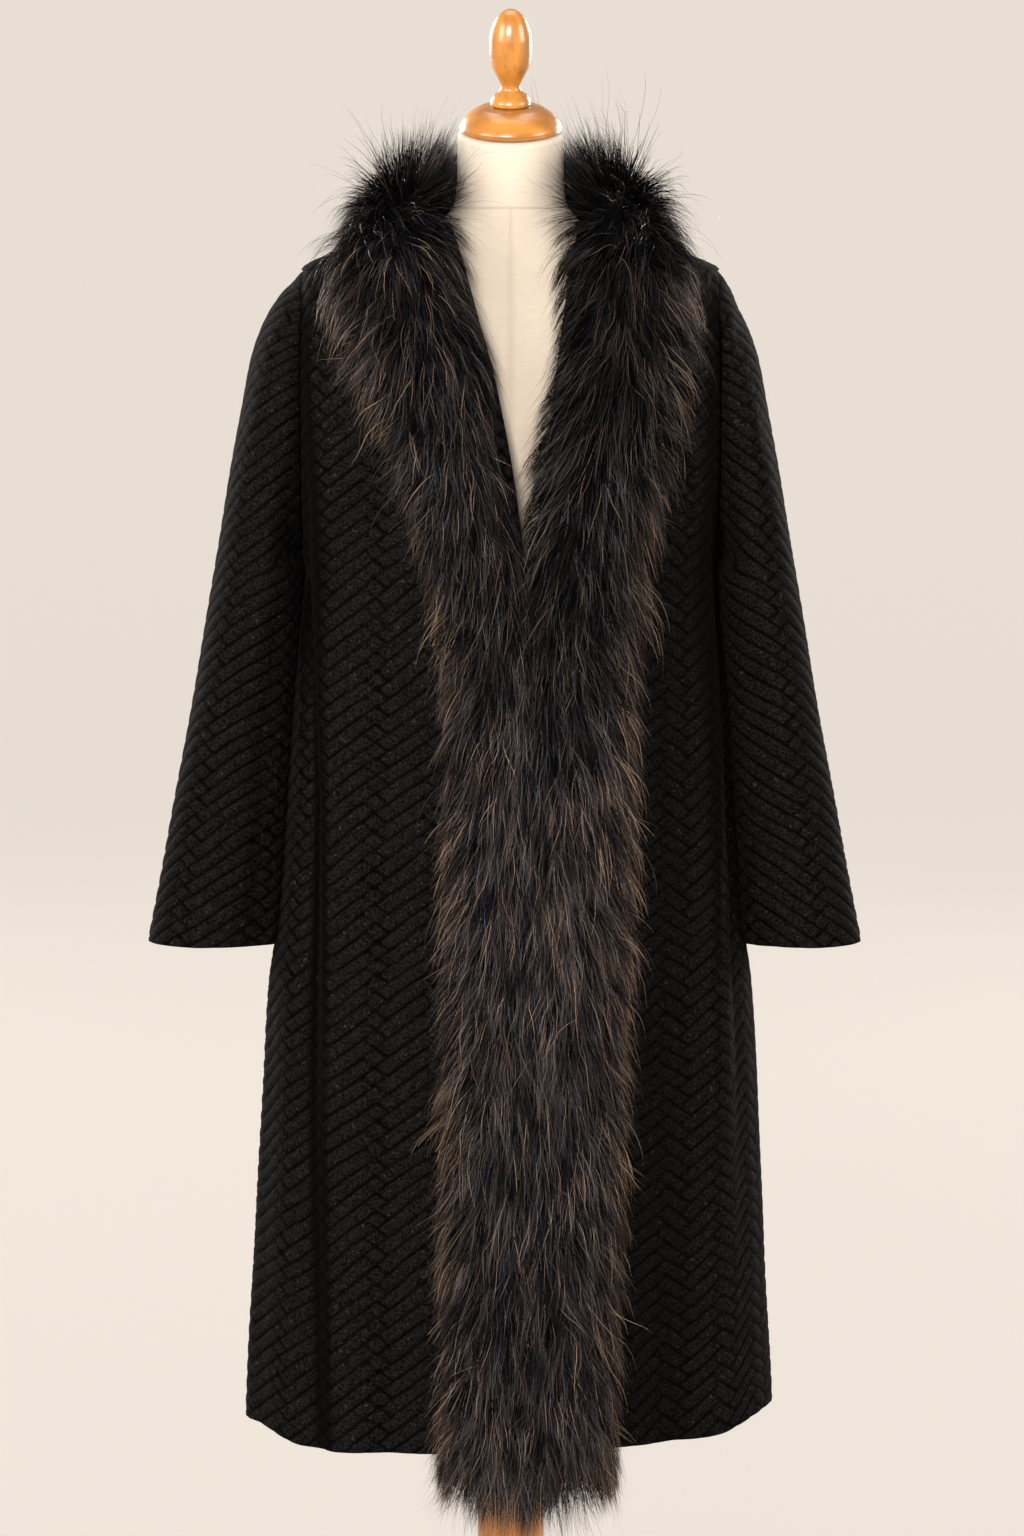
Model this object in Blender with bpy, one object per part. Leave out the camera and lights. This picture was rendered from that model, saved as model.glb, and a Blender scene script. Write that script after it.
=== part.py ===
"""Fur-trimmed wool coat on a limbless dress form with a turned wooden stand.

Metres, +Z up, the coat faces -Y.  The origin is the floor centre under the stand.
"Right" and "left" are the wearer's: the wearer's right is at -X.
"""
import bpy
import bmesh
import numpy as np
from math import cos, pi, radians, sin, tan

# ---------------------------------------------------------------- sizes, metres
SEAM_GAP = 0.0004          # clear space between two pieces at a seam
CLOTH = 0.003              # thickness of the quilted wool
HEM_Z = 0.246              # height of the coat's hem
HEM_TILT = 0.030           # the hem rises this much per metre towards +X
HEM_SIDE_RISE = 0.006      # and this much more at either side
NECKLINE_Z = 1.4725        # top edge of the coat's panels, hidden under the collar
SHOULDER_TIP_Z = 1.421     # where the shoulder seam meets the sleeve
ARMPIT_Z = 1.125           # lowest point of the armhole
ARMHOLE_X = 0.2105         # the armhole lies in this plane on either side
ARMHOLE_DEPTH = 0.095      # half of its front-to-back size
PARTING_X = 0.0175         # the two fronts meet a little to the wearer's left
PARTING_HALF = 0.0010      # half of the space between the two fronts
V_BOTTOM_Z = 1.120         # the neck opening closes here
CUFF_Z = 0.733             # height of the sleeve ends

BODY_ROWS = 30             # levels up each body panel
FRONT_COLUMNS = 10
BACK_COLUMNS = 18
SLEEVE_STATIONS = 18
SLEEVE_SIDES = 24
FORM_SIDES = 32
LATHE_SIDES = 40

# Coat body: height, half width, front depth, back depth, squareness
BODY_TABLE = [
    (0.200, 0.2735, 0.200, 0.180, 2.6),
    (0.241, 0.2715, 0.198, 0.178, 2.6),
    (0.400, 0.2625, 0.190, 0.172, 2.7),
    (0.600, 0.2510, 0.180, 0.164, 2.9),
    (0.700, 0.2445, 0.175, 0.160, 3.0),
    (0.760, 0.2360, 0.172, 0.157, 3.0),
    (0.950, 0.2240, 0.165, 0.151, 3.0),
    (1.050, 0.2160, 0.160, 0.147, 3.0),
    (1.125, 0.2105, 0.156, 0.143, 3.0),
    (1.200, 0.2105, 0.152, 0.140, 3.0),
    (1.280, 0.2105, 0.145, 0.136, 2.9),
    (1.350, 0.2105, 0.133, 0.130, 2.7),
    (1.400, 0.2105, 0.116, 0.118, 2.4),
    (1.421, 0.2105, 0.105, 0.109, 2.3),
    (1.450, 0.1345, 0.086, 0.092, 2.2),
    (1.480, 0.0550, 0.066, 0.074, 2.1),
]

# Neck opening: height, x of the right front's edge, x of the left front's edge
OPENING_TABLE = [
    (1.100, 0.0165, 0.0185),
    (1.120, 0.0150, 0.0200),
    (1.200, 0.0060, 0.0300),
    (1.300, -0.0120, 0.0420),
    (1.380, -0.0330, 0.0530),
    (1.440, -0.0480, 0.0600),
    (1.480, -0.0520, 0.0620),
]

# Soft folds round the body: angle from the centre front, spread, height, both in degrees
# and metres; the first list is the wearer's right side, the second the left
FOLDS_RIGHT = [
    (42.0, 6.0, 0.0050), (52.0, 5.5, -0.0080), (67.0, 8.0, 0.0070), (84.0, 7.0, -0.0050),
    (103.0, 9.0, 0.0070), (122.0, 8.0, -0.0060), (140.0, 9.0, 0.0055), (158.0, 8.0, -0.0040),
]
FOLDS_LEFT = [
    (44.0, 6.0, 0.0060), (54.0, 5.5, -0.0075), (69.0, 9.0, 0.0065), (87.0, 7.0, -0.0055),
    (107.0, 10.0, 0.0070), (127.0, 8.0, -0.0055), (146.0, 9.0, 0.0050), (163.0, 7.0, -0.0035),
]

# Sleeve: outer line x and z, inner line x and z, half of the front-to-back size, y of the middle
SLEEVE_TABLE = [
    (0.2109, 1.4210, 0.2109, 1.1290, 0.0950, 0.000),
    (0.2180, 1.4125, 0.2160, 1.1275, 0.0952, 0.000),
    (0.2320, 1.3985, 0.2190, 1.1230, 0.0950, 0.000),
    (0.2490, 1.3725, 0.2205, 1.1150, 0.0935, -0.002),
    (0.2635, 1.3340, 0.2215, 1.1020, 0.0905, -0.004),
    (0.2730, 1.2820, 0.2220, 1.0850, 0.0865, -0.007),
    (0.2835, 1.2220, 0.2225, 1.0620, 0.0815, -0.011),
    (0.2950, 1.1520, 0.2235, 1.0300, 0.0765, -0.015),
    (0.3090, 1.0700, 0.2255, 0.9850, 0.0720, -0.020),
    (0.3240, 0.9850, 0.2290, 0.9300, 0.0685, -0.025),
    (0.3410, 0.8900, 0.2340, 0.8600, 0.0650, -0.029),
    (0.3570, 0.8050, 0.2385, 0.7880, 0.0625, -0.032),
    (0.3700, 0.7400, 0.2415, 0.7270, 0.0600, -0.034),
]

# The wearer's left sleeve is turned a little: its outer line lies nearer, its inner line further out
LEFT_OUTER_SHIFT = -0.0120
LEFT_INNER_SHIFT = 0.0040

# Fur below the collar: height, inner x and outer x on the wearer's right, the same on the
# left (all measured across the front), thickness of the pile
FUR_FRONT_TABLE = [
    (0.178, 0.0000, -0.0350, 0.0260, 0.0850, 0.028),
    (0.205, 0.0130, -0.0640, 0.0200, 0.1050, 0.036),
    (0.245, 0.0160, -0.0780, 0.0190, 0.1140, 0.040),
    (0.400, 0.0165, -0.0780, 0.0185, 0.1170, 0.042),
    (0.600, 0.0165, -0.0750, 0.0185, 0.1230, 0.042),
    (0.800, 0.0165, -0.0735, 0.0185, 0.1300, 0.043),
    (1.000, 0.0165, -0.0760, 0.0185, 0.1350, 0.044),
    (1.100, 0.0160, -0.0880, 0.0190, 0.1450, 0.045),
    (1.200, 0.0060, -0.1130, 0.0270, 0.1700, 0.046),
    (1.290, -0.0140, -0.1480, 0.0400, 0.1900, 0.048),
    (1.350, -0.0300, -0.1740, 0.0480, 0.2000, 0.050),
]

# Collar, one side: inner edge x, y, z, outer edge x, y, z, thickness of the pile
COLLAR_TABLE = [
    (0.0470, -0.1060, 1.4100, 0.1860, -0.1020, 1.3950, 0.058),
    (0.0570, -0.0800, 1.4580, 0.1830, -0.0640, 1.4230, 0.064),
    (0.0610, -0.0350, 1.4900, 0.1780, -0.0250, 1.4380, 0.068),
    (0.0620, 0.0100, 1.5000, 0.1720, 0.0250, 1.4410, 0.068),
    (0.0580, 0.0500, 1.5010, 0.1540, 0.0850, 1.4220, 0.067),
    (0.0370, 0.0780, 1.4980, 0.0930, 0.1330, 1.3850, 0.064),
    (0.0010, 0.0870, 1.4960, 0.0010, 0.1530, 1.3600, 0.060),
]

# Dress form: height, half width, front depth, back depth
FORM_TABLE = [
    (0.780, 0.1480, 0.098, 0.108),
    (0.860, 0.1580, 0.103, 0.122),
    (0.950, 0.1500, 0.100, 0.114),
    (1.050, 0.1260, 0.095, 0.096),
    (1.150, 0.1400, 0.110, 0.100),
    (1.250, 0.1560, 0.122, 0.106),
    (1.330, 0.1650, 0.108, 0.106),
    (1.380, 0.1720, 0.088, 0.097),
    (1.410, 0.1680, 0.070, 0.085),
    (1.435, 0.1300, 0.061, 0.074),
    (1.455, 0.0930, 0.056, 0.066),
    (1.475, 0.0665, 0.054, 0.060),
    (1.492, 0.0560, 0.053, 0.057),
    (1.515, 0.0540, 0.053, 0.056),
    (1.562, 0.0535, 0.053, 0.056),
]
NECK_TOP_Z = 1.562         # height of the middle of the neck's slanting top
NECK_TILT = radians(15.0)  # the top of the neck, the cap and the finial lean forward

# Turned wood: radius and height along the axis
CAP_PROFILE = [
    (0.0495, 0.0000), (0.0515, 0.0015), (0.0515, 0.0050), (0.0500, 0.0085),
    (0.0470, 0.0125), (0.0430, 0.0165), (0.0375, 0.0205), (0.0306, 0.0240), (0.0195, 0.0258),
]
FINIAL_PROFILE = [
    (0.0190, 0.0262), (0.0204, 0.0275), (0.0204, 0.0300), (0.0192, 0.0330), (0.0168, 0.0365),
    (0.0124, 0.0405), (0.0100, 0.0440), (0.0098, 0.0460), (0.0104, 0.0485), (0.0122, 0.0525),
    (0.0145, 0.0568), (0.0184, 0.0650), (0.0204, 0.0730), (0.0214, 0.0830), (0.0214, 0.0930),
    (0.0204, 0.1000), (0.0184, 0.1070), (0.0148, 0.1145), (0.0100, 0.1200), (0.0050, 0.1235),
]
COLUMN_PROFILE = [
    (0.0420, 0.0284), (0.0435, 0.0310), (0.0435, 0.0390), (0.0400, 0.0440), (0.0362, 0.0520),
    (0.0350, 0.0700), (0.0345, 0.1100), (0.0332, 0.1700), (0.0310, 0.3000), (0.0285, 0.5000),
    (0.0265, 0.6800), (0.0300, 0.7300), (0.0420, 0.7550), (0.0430, 0.7600), (0.0430, 0.7796),
]
BASE_PROFILE = [
    (0.1920, 0.0000), (0.1960, 0.0030), (0.1960, 0.0120), (0.1930, 0.0170), (0.1860, 0.0200),
    (0.1780, 0.0215), (0.1200, 0.0240), (0.0600, 0.0280),
]


# ---------------------------------------------------------------- curves
def column_at(table, column, at):
    """A column of a table as a smooth curve of its first column, without overshoot."""
    keys = np.array([row[0] for row in table])
    values = np.array([row[column] for row in table])
    steps = np.diff(keys)
    slopes = np.diff(values) / steps
    tangents = np.zeros(len(keys))
    same_way = slopes[:-1] * slopes[1:] > 0.0
    total = slopes[:-1] + slopes[1:]
    safe = np.where(same_way, total, 1.0)
    tangents[1:-1] = np.where(same_way, 2.0 * slopes[:-1] * slopes[1:] / safe, 0.0)
    tangents[0] = slopes[0]
    tangents[-1] = slopes[-1]
    at = np.clip(np.asarray(at, dtype=float), keys[0], keys[-1])
    k = np.clip(np.searchsorted(keys, at) - 1, 0, len(steps) - 1)
    t = (at - keys[k]) / steps[k]
    start = values[k] * (1 + 2 * t) * (1 - t) ** 2 + tangents[k] * steps[k] * t * (1 - t) ** 2
    end = values[k + 1] * t * t * (3 - 2 * t) + tangents[k + 1] * steps[k] * t * t * (t - 1)
    return start + end


def along(table, count):
    """Every column of a table, taken at evenly spaced places along its rows."""
    numbered = [(float(i),) + tuple(row) for i, row in enumerate(table)]
    at = np.linspace(0.0, len(table) - 1.0, count)
    return np.array([column_at(numbered, c + 1, at) for c in range(len(table[0]))]).T


def smooth_step(low, high, at):
    t = np.clip((at - low) / (high - low), 0.0, 1.0)
    return t * t * (3.0 - 2.0 * t)


def armhole_half_depth(z):
    """Half of the armhole's front-to-back size at a height."""
    middle = 0.5 * (SHOULDER_TIP_Z + ARMPIT_Z)
    half = 0.5 * (SHOULDER_TIP_Z - ARMPIT_Z)
    rise = np.clip(1.0 - ((z - middle) / half) ** 2, 0.0, 1.0)
    return ARMHOLE_DEPTH * np.sqrt(rise)


def section_sizes(z, back):
    """Half width, depth and squareness of the coat's outer skin at a height."""
    width = float(column_at(BODY_TABLE, 1, z))
    depth = float(column_at(BODY_TABLE, 3 if back else 2, z))
    power = float(column_at(BODY_TABLE, 4, z))
    if ARMPIT_Z < z < SHOULDER_TIP_Z:
        share = min(float(armhole_half_depth(z)) / depth, 0.97) ** power
        width = ARMHOLE_X / (1.0 - share) ** (1.0 / power)
    return width, depth, power


def fold_height(angle, z, left):
    """How far the soft folds stand out at an angle from the centre front, in degrees."""
    total = np.zeros_like(angle)
    for centre, spread, height in (FOLDS_LEFT if left else FOLDS_RIGHT):
        total = total + height * np.exp(-((angle - centre) / spread) ** 2)
    return total * smooth_step(1.10, 0.45, z)


def body_line(z, start_x, left, back, count):
    """Points of the outer skin at a height, from the middle of the coat to its side."""
    width, depth, power = section_sizes(z, back)
    theta = np.linspace(0.0, 0.5 * pi, 721)
    x = width * np.sin(theta) ** (2.0 / power)
    y = depth * np.cos(theta) ** (2.0 / power)
    degrees = np.degrees(theta)
    reach = fold_height(180.0 - degrees if back else degrees, z, left)
    tangent_x = np.gradient(x)
    tangent_y = np.gradient(y)
    length = np.hypot(tangent_x, tangent_y) + 1e-12
    x = x - reach * tangent_y / length
    y = y + reach * tangent_x / length
    if back:
        y = np.maximum(y, 0.0)
    keep = x >= start_x
    if ARMPIT_Z < z < SHOULDER_TIP_Z:
        keep = keep & (x <= ARMHOLE_X)
        half = float(armhole_half_depth(z))
        edge = (ARMHOLE_X, max(half, 0.5 * SEAM_GAP))
    else:
        keep = keep & (y >= 0.5 * SEAM_GAP)
        edge = (float(x[keep][-1]), 0.5 * SEAM_GAP)
    first = (start_x, float(np.interp(start_x, x[:500], y[:500])))
    line_x = np.concatenate([[first[0]], x[keep], [edge[0]]])
    line_y = np.concatenate([[first[1]], y[keep], [edge[1]]])
    far = np.concatenate([[0.0], np.cumsum(np.hypot(np.diff(line_x), np.diff(line_y)))])
    at = np.linspace(0.0, far[-1], count)
    out_x = np.interp(at, far, line_x) * (1.0 if left else -1.0)
    out_y = np.interp(at, far, line_y) * (1.0 if back else -1.0)
    side_rise = HEM_SIDE_RISE * smooth_step(0.200, 0.270, np.abs(out_x))
    lift = (HEM_TILT * out_x + side_rise) * smooth_step(0.75, 0.25, z)
    return np.stack([out_x, out_y, np.full(count, z) + lift], axis=1)


def body_levels():
    """Heights of the rows up a panel, closer together at the armhole and shoulder."""
    low = np.linspace(HEM_Z, ARMPIT_Z, 14)
    hole = ARMPIT_Z + (SHOULDER_TIP_Z - ARMPIT_Z) * 0.5 * (1.0 - np.cos(np.linspace(0, pi, 12)))
    top = np.linspace(SHOULDER_TIP_Z, NECKLINE_Z, 6)
    return np.concatenate([low, hole[1:], top[1:]])


# ---------------------------------------------------------------- meshes
def material(name, colour, roughness):
    made = bpy.data.materials.new(name)
    made.use_nodes = True
    shader = made.node_tree.nodes["Principled BSDF"]
    shader.inputs["Base Color"].default_value = (colour[0], colour[1], colour[2], 1.0)
    shader.inputs["Roughness"].default_value = roughness
    return made


def add_object(name, points, faces, colour, roughness):
    mesh = bpy.data.meshes.new(name)
    mesh.from_pydata([tuple(float(v) for v in p) for p in points], [], faces)
    work = bmesh.new()
    work.from_mesh(mesh)
    bmesh.ops.recalc_face_normals(work, faces=work.faces)
    work.to_mesh(mesh)
    work.free()
    mesh.shade_smooth()
    mesh.materials.append(material(name + "_material", colour, roughness))
    made = bpy.data.objects.new(name, mesh)
    bpy.context.collection.objects.link(made)
    return made


def grid_normals(grid, closed):
    """Unit normals of a grid of points, by its two directions."""
    if closed:
        across = np.roll(grid, -1, axis=1) - np.roll(grid, 1, axis=1)
    else:
        across = np.gradient(grid, axis=1)
    up = np.gradient(grid, axis=0)
    normal = np.cross(across, up)
    return normal / (np.linalg.norm(normal, axis=2, keepdims=True) + 1e-12)


def wall_faces(rows, columns, closed):
    """Quads of the outer sheet, the inner sheet and the rims between them."""
    inner = rows * columns
    last = columns if closed else columns - 1
    faces = []
    for r in range(rows - 1):
        for c in range(last):
            d = (c + 1) % columns
            a, b, e, f = r * columns + c, r * columns + d, (r + 1) * columns + d, (r + 1) * columns + c
            faces.append((a, b, e, f))
            faces.append((inner + a, inner + f, inner + e, inner + b))
    for r in (0, rows - 1):
        for c in range(last):
            d = (c + 1) % columns
            a, b = r * columns + c, r * columns + d
            faces.append((a, inner + a, inner + b, b))
    if not closed:
        for r in range(rows - 1):
            for c in (0, columns - 1):
                a, b = r * columns + c, (r + 1) * columns + c
                faces.append((a, b, inner + b, inner + a))
    return faces


def add_wall(name, outer, side, outward, colour, roughness):
    """A sheet of cloth: the outer skin given, the inner one a cloth's thickness within.

    The side is -1 for a front and +1 for the back; neither crosses the side seams' plane.
    """
    normal = grid_normals(outer, False) * outward
    inner = outer - normal * CLOTH
    inner[:, :, 1] = side * np.maximum(side * inner[:, :, 1], 0.5 * SEAM_GAP)
    rows, columns = outer.shape[:2]
    points = np.concatenate([outer.reshape(-1, 3), inner.reshape(-1, 3)])
    return add_object(name, points, wall_faces(rows, columns, False), colour, roughness)


def add_loft(name, loops, colour, roughness):
    """A solid through closed loops, with flat ends."""
    rows, columns = loops.shape[:2]
    faces = []
    for r in range(rows - 1):
        for c in range(columns):
            d = (c + 1) % columns
            faces.append((r * columns + c, r * columns + d, (r + 1) * columns + d,
                          (r + 1) * columns + c))
    faces.append(tuple(range(columns))[::-1])
    faces.append(tuple((rows - 1) * columns + c for c in range(columns)))
    return add_object(name, loops.reshape(-1, 3), faces, colour, roughness)


def turned(profile, sides, origin, tilt):
    """Loops of a turned piece whose axis starts at origin and leans forward by tilt."""
    angles = np.linspace(0.0, 2.0 * pi, sides, endpoint=False)
    loops = []
    for radius, height in profile:
        x = radius * np.cos(angles)
        y = radius * np.sin(angles) * cos(tilt) - height * sin(tilt)
        z = radius * np.sin(angles) * sin(tilt) + height * cos(tilt)
        loops.append(np.stack([x + origin[0], y + origin[1], z + origin[2]], axis=1))
    return np.array(loops)


# ---------------------------------------------------------------- coat
WOOL = (0.020, 0.019, 0.021)


def build_front(name, left):
    column = 2 if left else 1
    sign = 1.0 if left else -1.0
    rows = []
    for z in body_levels():
        if z < V_BOTTOM_Z:
            edge = PARTING_X + sign * PARTING_HALF
        else:
            edge = float(column_at(OPENING_TABLE, column, z))
        rows.append(front_line(z, edge, left))
    grid = np.array(rows)
    add_wall(name, grid, -1.0, 1.0 if left else -1.0, WOOL, 0.85)


def front_line(z, edge_x, left):
    """A front's row; it may start beyond the middle, on the other side's half."""
    sign = 1.0 if left else -1.0
    inside = edge_x * sign
    if inside >= 0.0:
        return body_line(z, inside, left, False, FRONT_COLUMNS)
    line = body_line(z, 0.0, left, False, FRONT_COLUMNS)
    other = body_line(z, -inside, not left, False, FRONT_COLUMNS)
    start = np.array([edge_x, other[0][1], z])
    return np.concatenate([[start], line[1:]])


def build_back():
    rows = []
    half = BACK_COLUMNS // 2
    for z in body_levels():
        right = body_line(z, 0.0, False, True, half + 1)
        left = body_line(z, 0.0, True, True, half + 1)
        rows.append(np.concatenate([right[::-1], left[1:]]))
    add_wall("back", np.array(rows), 1.0, -1.0, WOOL, 0.85)


def sleeve_loops(left):
    """Loops of the sleeve's outer skin, from the armhole to the cuff."""
    loops = []
    for outer_x, outer_z, inner_x, inner_z, depth, middle in along(SLEEVE_TABLE, SLEEVE_STATIONS):
        if left:
            outer_x += LEFT_OUTER_SHIFT * float(smooth_step(SHOULDER_TIP_Z, 1.38, outer_z))
            inner_x += LEFT_INNER_SHIFT * float(smooth_step(1.05, 0.75, inner_z))
        angle = np.linspace(0.0, 2.0 * pi, SLEEVE_SIDES, endpoint=False)
        across = 0.5 * np.cos(angle)
        x = 0.5 * (outer_x + inner_x) + (outer_x - inner_x) * across
        z = 0.5 * (outer_z + inner_z) + (outer_z - inner_z) * across
        y = middle + depth * np.sin(angle)
        loops.append(np.stack([x if left else -x, y, z], axis=1))
    return np.array(loops)


def build_sleeve(name, left):
    loops = sleeve_loops(left)
    normal = grid_normals(loops, True) * (1.0 if left else -1.0)
    # the first loop keeps to the armhole's plane, so the wall stands clear of the body
    normal[0, :, 0] = 0.0
    normal[0] /= np.linalg.norm(normal[0], axis=1, keepdims=True)
    inner = loops - normal * CLOTH
    points = np.concatenate([loops.reshape(-1, 3), inner.reshape(-1, 3)])
    faces = wall_faces(loops.shape[0], SLEEVE_SIDES, True)
    add_object(name, points, faces, WOOL, 0.85)


# ---------------------------------------------------------------- fur
FUR = (0.045, 0.040, 0.038)
FUR_CLEAR = 0.0020         # the pile's underside stands this far off the cloth
COLLAR_CLEAR = 0.0045      # the same where it turns over the shoulders
PILE_SLIMMING = 0.30       # the pile is this much thinner at the outer edge than the inner


def skin_y(x, z):
    """Front y of the coat's outer skin at a place, the larger of its two sides' folds."""
    level = max(min(float(z), NECKLINE_Z), HEM_Z)
    line = body_line(level, 0.0, x > 0.0, False, 60)
    return float(np.interp(abs(x), np.abs(line[:, 0]), line[:, 1]))


def lifted_clear(point, out, margin):
    """The point, moved along out until it stands clear of the coat's body and shoulders."""
    for _ in range(120):
        x, y, z = point
        if z > NECKLINE_Z + margin:
            return point
        width, depth, power = section_sizes(min(float(z), NECKLINE_Z), y > 0.0)
        share = (abs(x) / (width + margin)) ** power + (abs(y) / (depth + margin)) ** power
        if share >= 1.0:
            return point
        point = point + out * 0.001
    return point


def fur_loop(under, over_share, thickness, out):
    """Closed loop: the underside points, then the pile above them back again."""
    count = len(under)
    share = np.linspace(-1.0, 1.0, count)
    slimmer = 1.0 - PILE_SLIMMING * 0.5 * (share + 1.0)
    rise = thickness * slimmer * (1.0 - np.abs(share) ** 2.6) ** (1.0 / 2.2) + over_share
    over = under + out * rise[:, None]
    return np.concatenate([under, over[::-1]])


def fur_sections(left):
    """Loops of one side's fur, from the end below the hem to the centre back."""
    sign = 1.0 if left else -1.0
    inner_column, outer_column = (3, 4) if left else (1, 2)
    loops = []
    heights = np.concatenate([np.linspace(0.178, 0.245, 5), np.linspace(0.29, 1.35, 26)])
    for z in heights:
        inner_x = float(column_at(FUR_FRONT_TABLE, inner_column, z))
        outer_x = float(column_at(FUR_FRONT_TABLE, outer_column, z))
        thick = float(column_at(FUR_FRONT_TABLE, 5, z))
        gap = 0.0010
        inner_x = inner_x + sign * gap if abs(inner_x - PARTING_X) < 0.004 else inner_x
        xs = np.linspace(inner_x, outer_x, 8)
        ys = np.array([skin_y(x, z) for x in xs]) - FUR_CLEAR
        under = np.stack([xs, ys, np.full(8, z)], axis=1)
        out = np.array([0.0, -1.0, 0.0])
        loops.append(fur_loop(under, 0.004, thick - 0.004, out))
    for inner_x, inner_y, inner_z, outer_x, outer_y, outer_z, thick in along(COLLAR_TABLE, 17):
        inner = np.array([sign * inner_x, inner_y, inner_z])
        outer = np.array([sign * outer_x, outer_y, outer_z])
        share = np.linspace(0.0, 1.0, 8)[:, None]
        under = inner + (outer - inner) * share
        along_path = np.array([0.5 * (inner[0] + outer[0]), 0.5 * (inner[1] + outer[1]), 0.0])
        turn = np.array([-along_path[1], along_path[0], 0.0])
        turn = turn / np.linalg.norm(turn)
        out = np.cross(outer - inner, turn)
        out = out / np.linalg.norm(out)
        if out[2] < 0.0:
            out = -out
        under = np.array([lifted_clear(point, out, COLLAR_CLEAR) for point in under])
        loops.append(fur_loop(under, 0.006, thick - 0.006, out))
    return np.array(loops)


def build_fur(name, left):
    loops = fur_sections(left)
    add_loft(name, loops, FUR, 0.9)


# ---------------------------------------------------------------- form and stand
def build_form():
    levels = np.concatenate([np.linspace(0.780, 1.38, 13), np.linspace(1.40, 1.562, 11)])
    angles = np.linspace(0.0, 2.0 * pi, FORM_SIDES, endpoint=False)
    loops = []
    for z in levels:
        width = float(column_at(FORM_TABLE, 1, z))
        front = float(column_at(FORM_TABLE, 2, z))
        back = float(column_at(FORM_TABLE, 3, z))
        y = np.where(np.sin(angles) < 0.0, front, back) * np.sin(angles)
        x = width * np.cos(angles)
        slope = tan(NECK_TILT) * float(smooth_step(1.49, 1.562, z))
        loops.append(np.stack([x, y, z + slope * y], axis=1))
    add_loft("dress_form", np.array(loops), (0.78, 0.74, 0.66), 0.8)


def build_stand():
    wood = (0.52, 0.24, 0.075)
    # the cap rests just clear of the neck's slanting top
    top = (0.0, 0.0, NECK_TOP_Z + SEAM_GAP)
    add_loft("neck_cap", turned(CAP_PROFILE, LATHE_SIDES, top, NECK_TILT), wood, 0.35)
    add_loft("finial", turned(FINIAL_PROFILE, LATHE_SIDES, top, NECK_TILT), wood, 0.35)
    floor = (0.0, 0.0, 0.0)
    add_loft("column", turned(COLUMN_PROFILE, LATHE_SIDES, floor, 0.0), wood, 0.35)
    add_loft("base", turned(BASE_PROFILE, LATHE_SIDES, floor, 0.0), wood, 0.35)


def main():
    for old in list(bpy.data.objects):
        bpy.data.objects.remove(old, do_unlink=True)
    build_front("front_right", False)
    build_front("front_left", True)
    build_back()
    build_sleeve("sleeve_right", False)
    build_sleeve("sleeve_left", True)
    build_fur("fur_right", False)
    build_fur("fur_left", True)
    build_form()
    build_stand()


main()
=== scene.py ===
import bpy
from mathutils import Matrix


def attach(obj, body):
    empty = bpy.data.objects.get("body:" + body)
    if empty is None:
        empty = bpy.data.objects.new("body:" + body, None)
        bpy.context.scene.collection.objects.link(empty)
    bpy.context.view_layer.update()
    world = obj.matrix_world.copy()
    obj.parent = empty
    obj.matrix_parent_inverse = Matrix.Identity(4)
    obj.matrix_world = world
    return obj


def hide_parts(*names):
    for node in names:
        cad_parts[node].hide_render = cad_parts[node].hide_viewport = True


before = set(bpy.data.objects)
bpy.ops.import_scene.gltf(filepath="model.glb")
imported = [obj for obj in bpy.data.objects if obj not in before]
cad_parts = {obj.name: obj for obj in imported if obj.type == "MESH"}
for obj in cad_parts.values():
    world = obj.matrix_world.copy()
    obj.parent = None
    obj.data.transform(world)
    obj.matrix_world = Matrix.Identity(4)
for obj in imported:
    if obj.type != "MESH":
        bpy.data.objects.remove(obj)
"""Looks of a fur-trimmed quilted wool coat on a limbless dress form.

Metres, +Z up, the coat faces -Y.  "Right" and "left" are the wearer's: the right is at -X.
The tables and section functions are the coat pattern's own, so each visible piece lies on
the solid that it stands for.
"""
from math import atan, cos, pi, radians, sin, sqrt, tan

import bpy
import numpy as np
from bpy.props import FloatProperty, FloatVectorProperty, IntProperty, PointerProperty
from mathutils import Vector

bl_info = {
    "name": "Fur-trimmed coat on a dress form",
    "version": (1, 0, 0),
    "blender": (4, 5, 0),
    "location": "3D View > Sidebar > Coat",
    "description": "Builds the quilted wool, the fur, the calico form and the turned wood",
    "category": "Object",
}

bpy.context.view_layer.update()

# ---- pattern of the coat, metres
CLOTH = 0.003              # thickness of the quilted wool
SEAM_GAP = 0.0001          # clear space between two pieces at a seam
HEM_Z = 0.246              # height of the coat's hem
HEM_TILT = 0.030           # the hem rises this much per metre towards +X
HEM_RISE_RIGHT = 0.0144    # and this much more at the right side
HEM_RISE_LEFT = 0.0120     # and at the left side
NECKLINE_Z = 1.4725        # top edge of the coat's panels, hidden under the collar
SHOULDER_TIP_Z = 1.421     # where the shoulder seam meets the sleeve
ARMPIT_Z = 1.125           # lowest point of the armhole
ARMHOLE_X = 0.2105         # the armhole lies in this plane on either side
ARMHOLE_DEPTH = 0.095      # half of its front-to-back size
SLEEVE_HEAD_X = 0.2109     # the sleeve's head lies in this plane, against the armhole
SLEEVE_HEAD_Z = 1.275      # middle of the sleeve's head
SLEEVE_HEAD_HALF = 0.146   # half of its height
ARMHOLE_DIP = 0.0058       # the cloth is drawn in by this along the armhole's seam,
ARMHOLE_DIP_REACH = 0.0065   # and this far to either side of it
SLEEVE_LOW_Z = 0.7405      # lowest row of the sleeves
SLEEVE_HIGH_Z = 1.4205     # and the highest
PARTING_X = 0.0175         # the two fronts meet a little to the wearer's left
PARTING_HALF = 0.0010      # half of the space between the two fronts
V_BOTTOM_Z = 1.120         # the neck opening closes here
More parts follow.
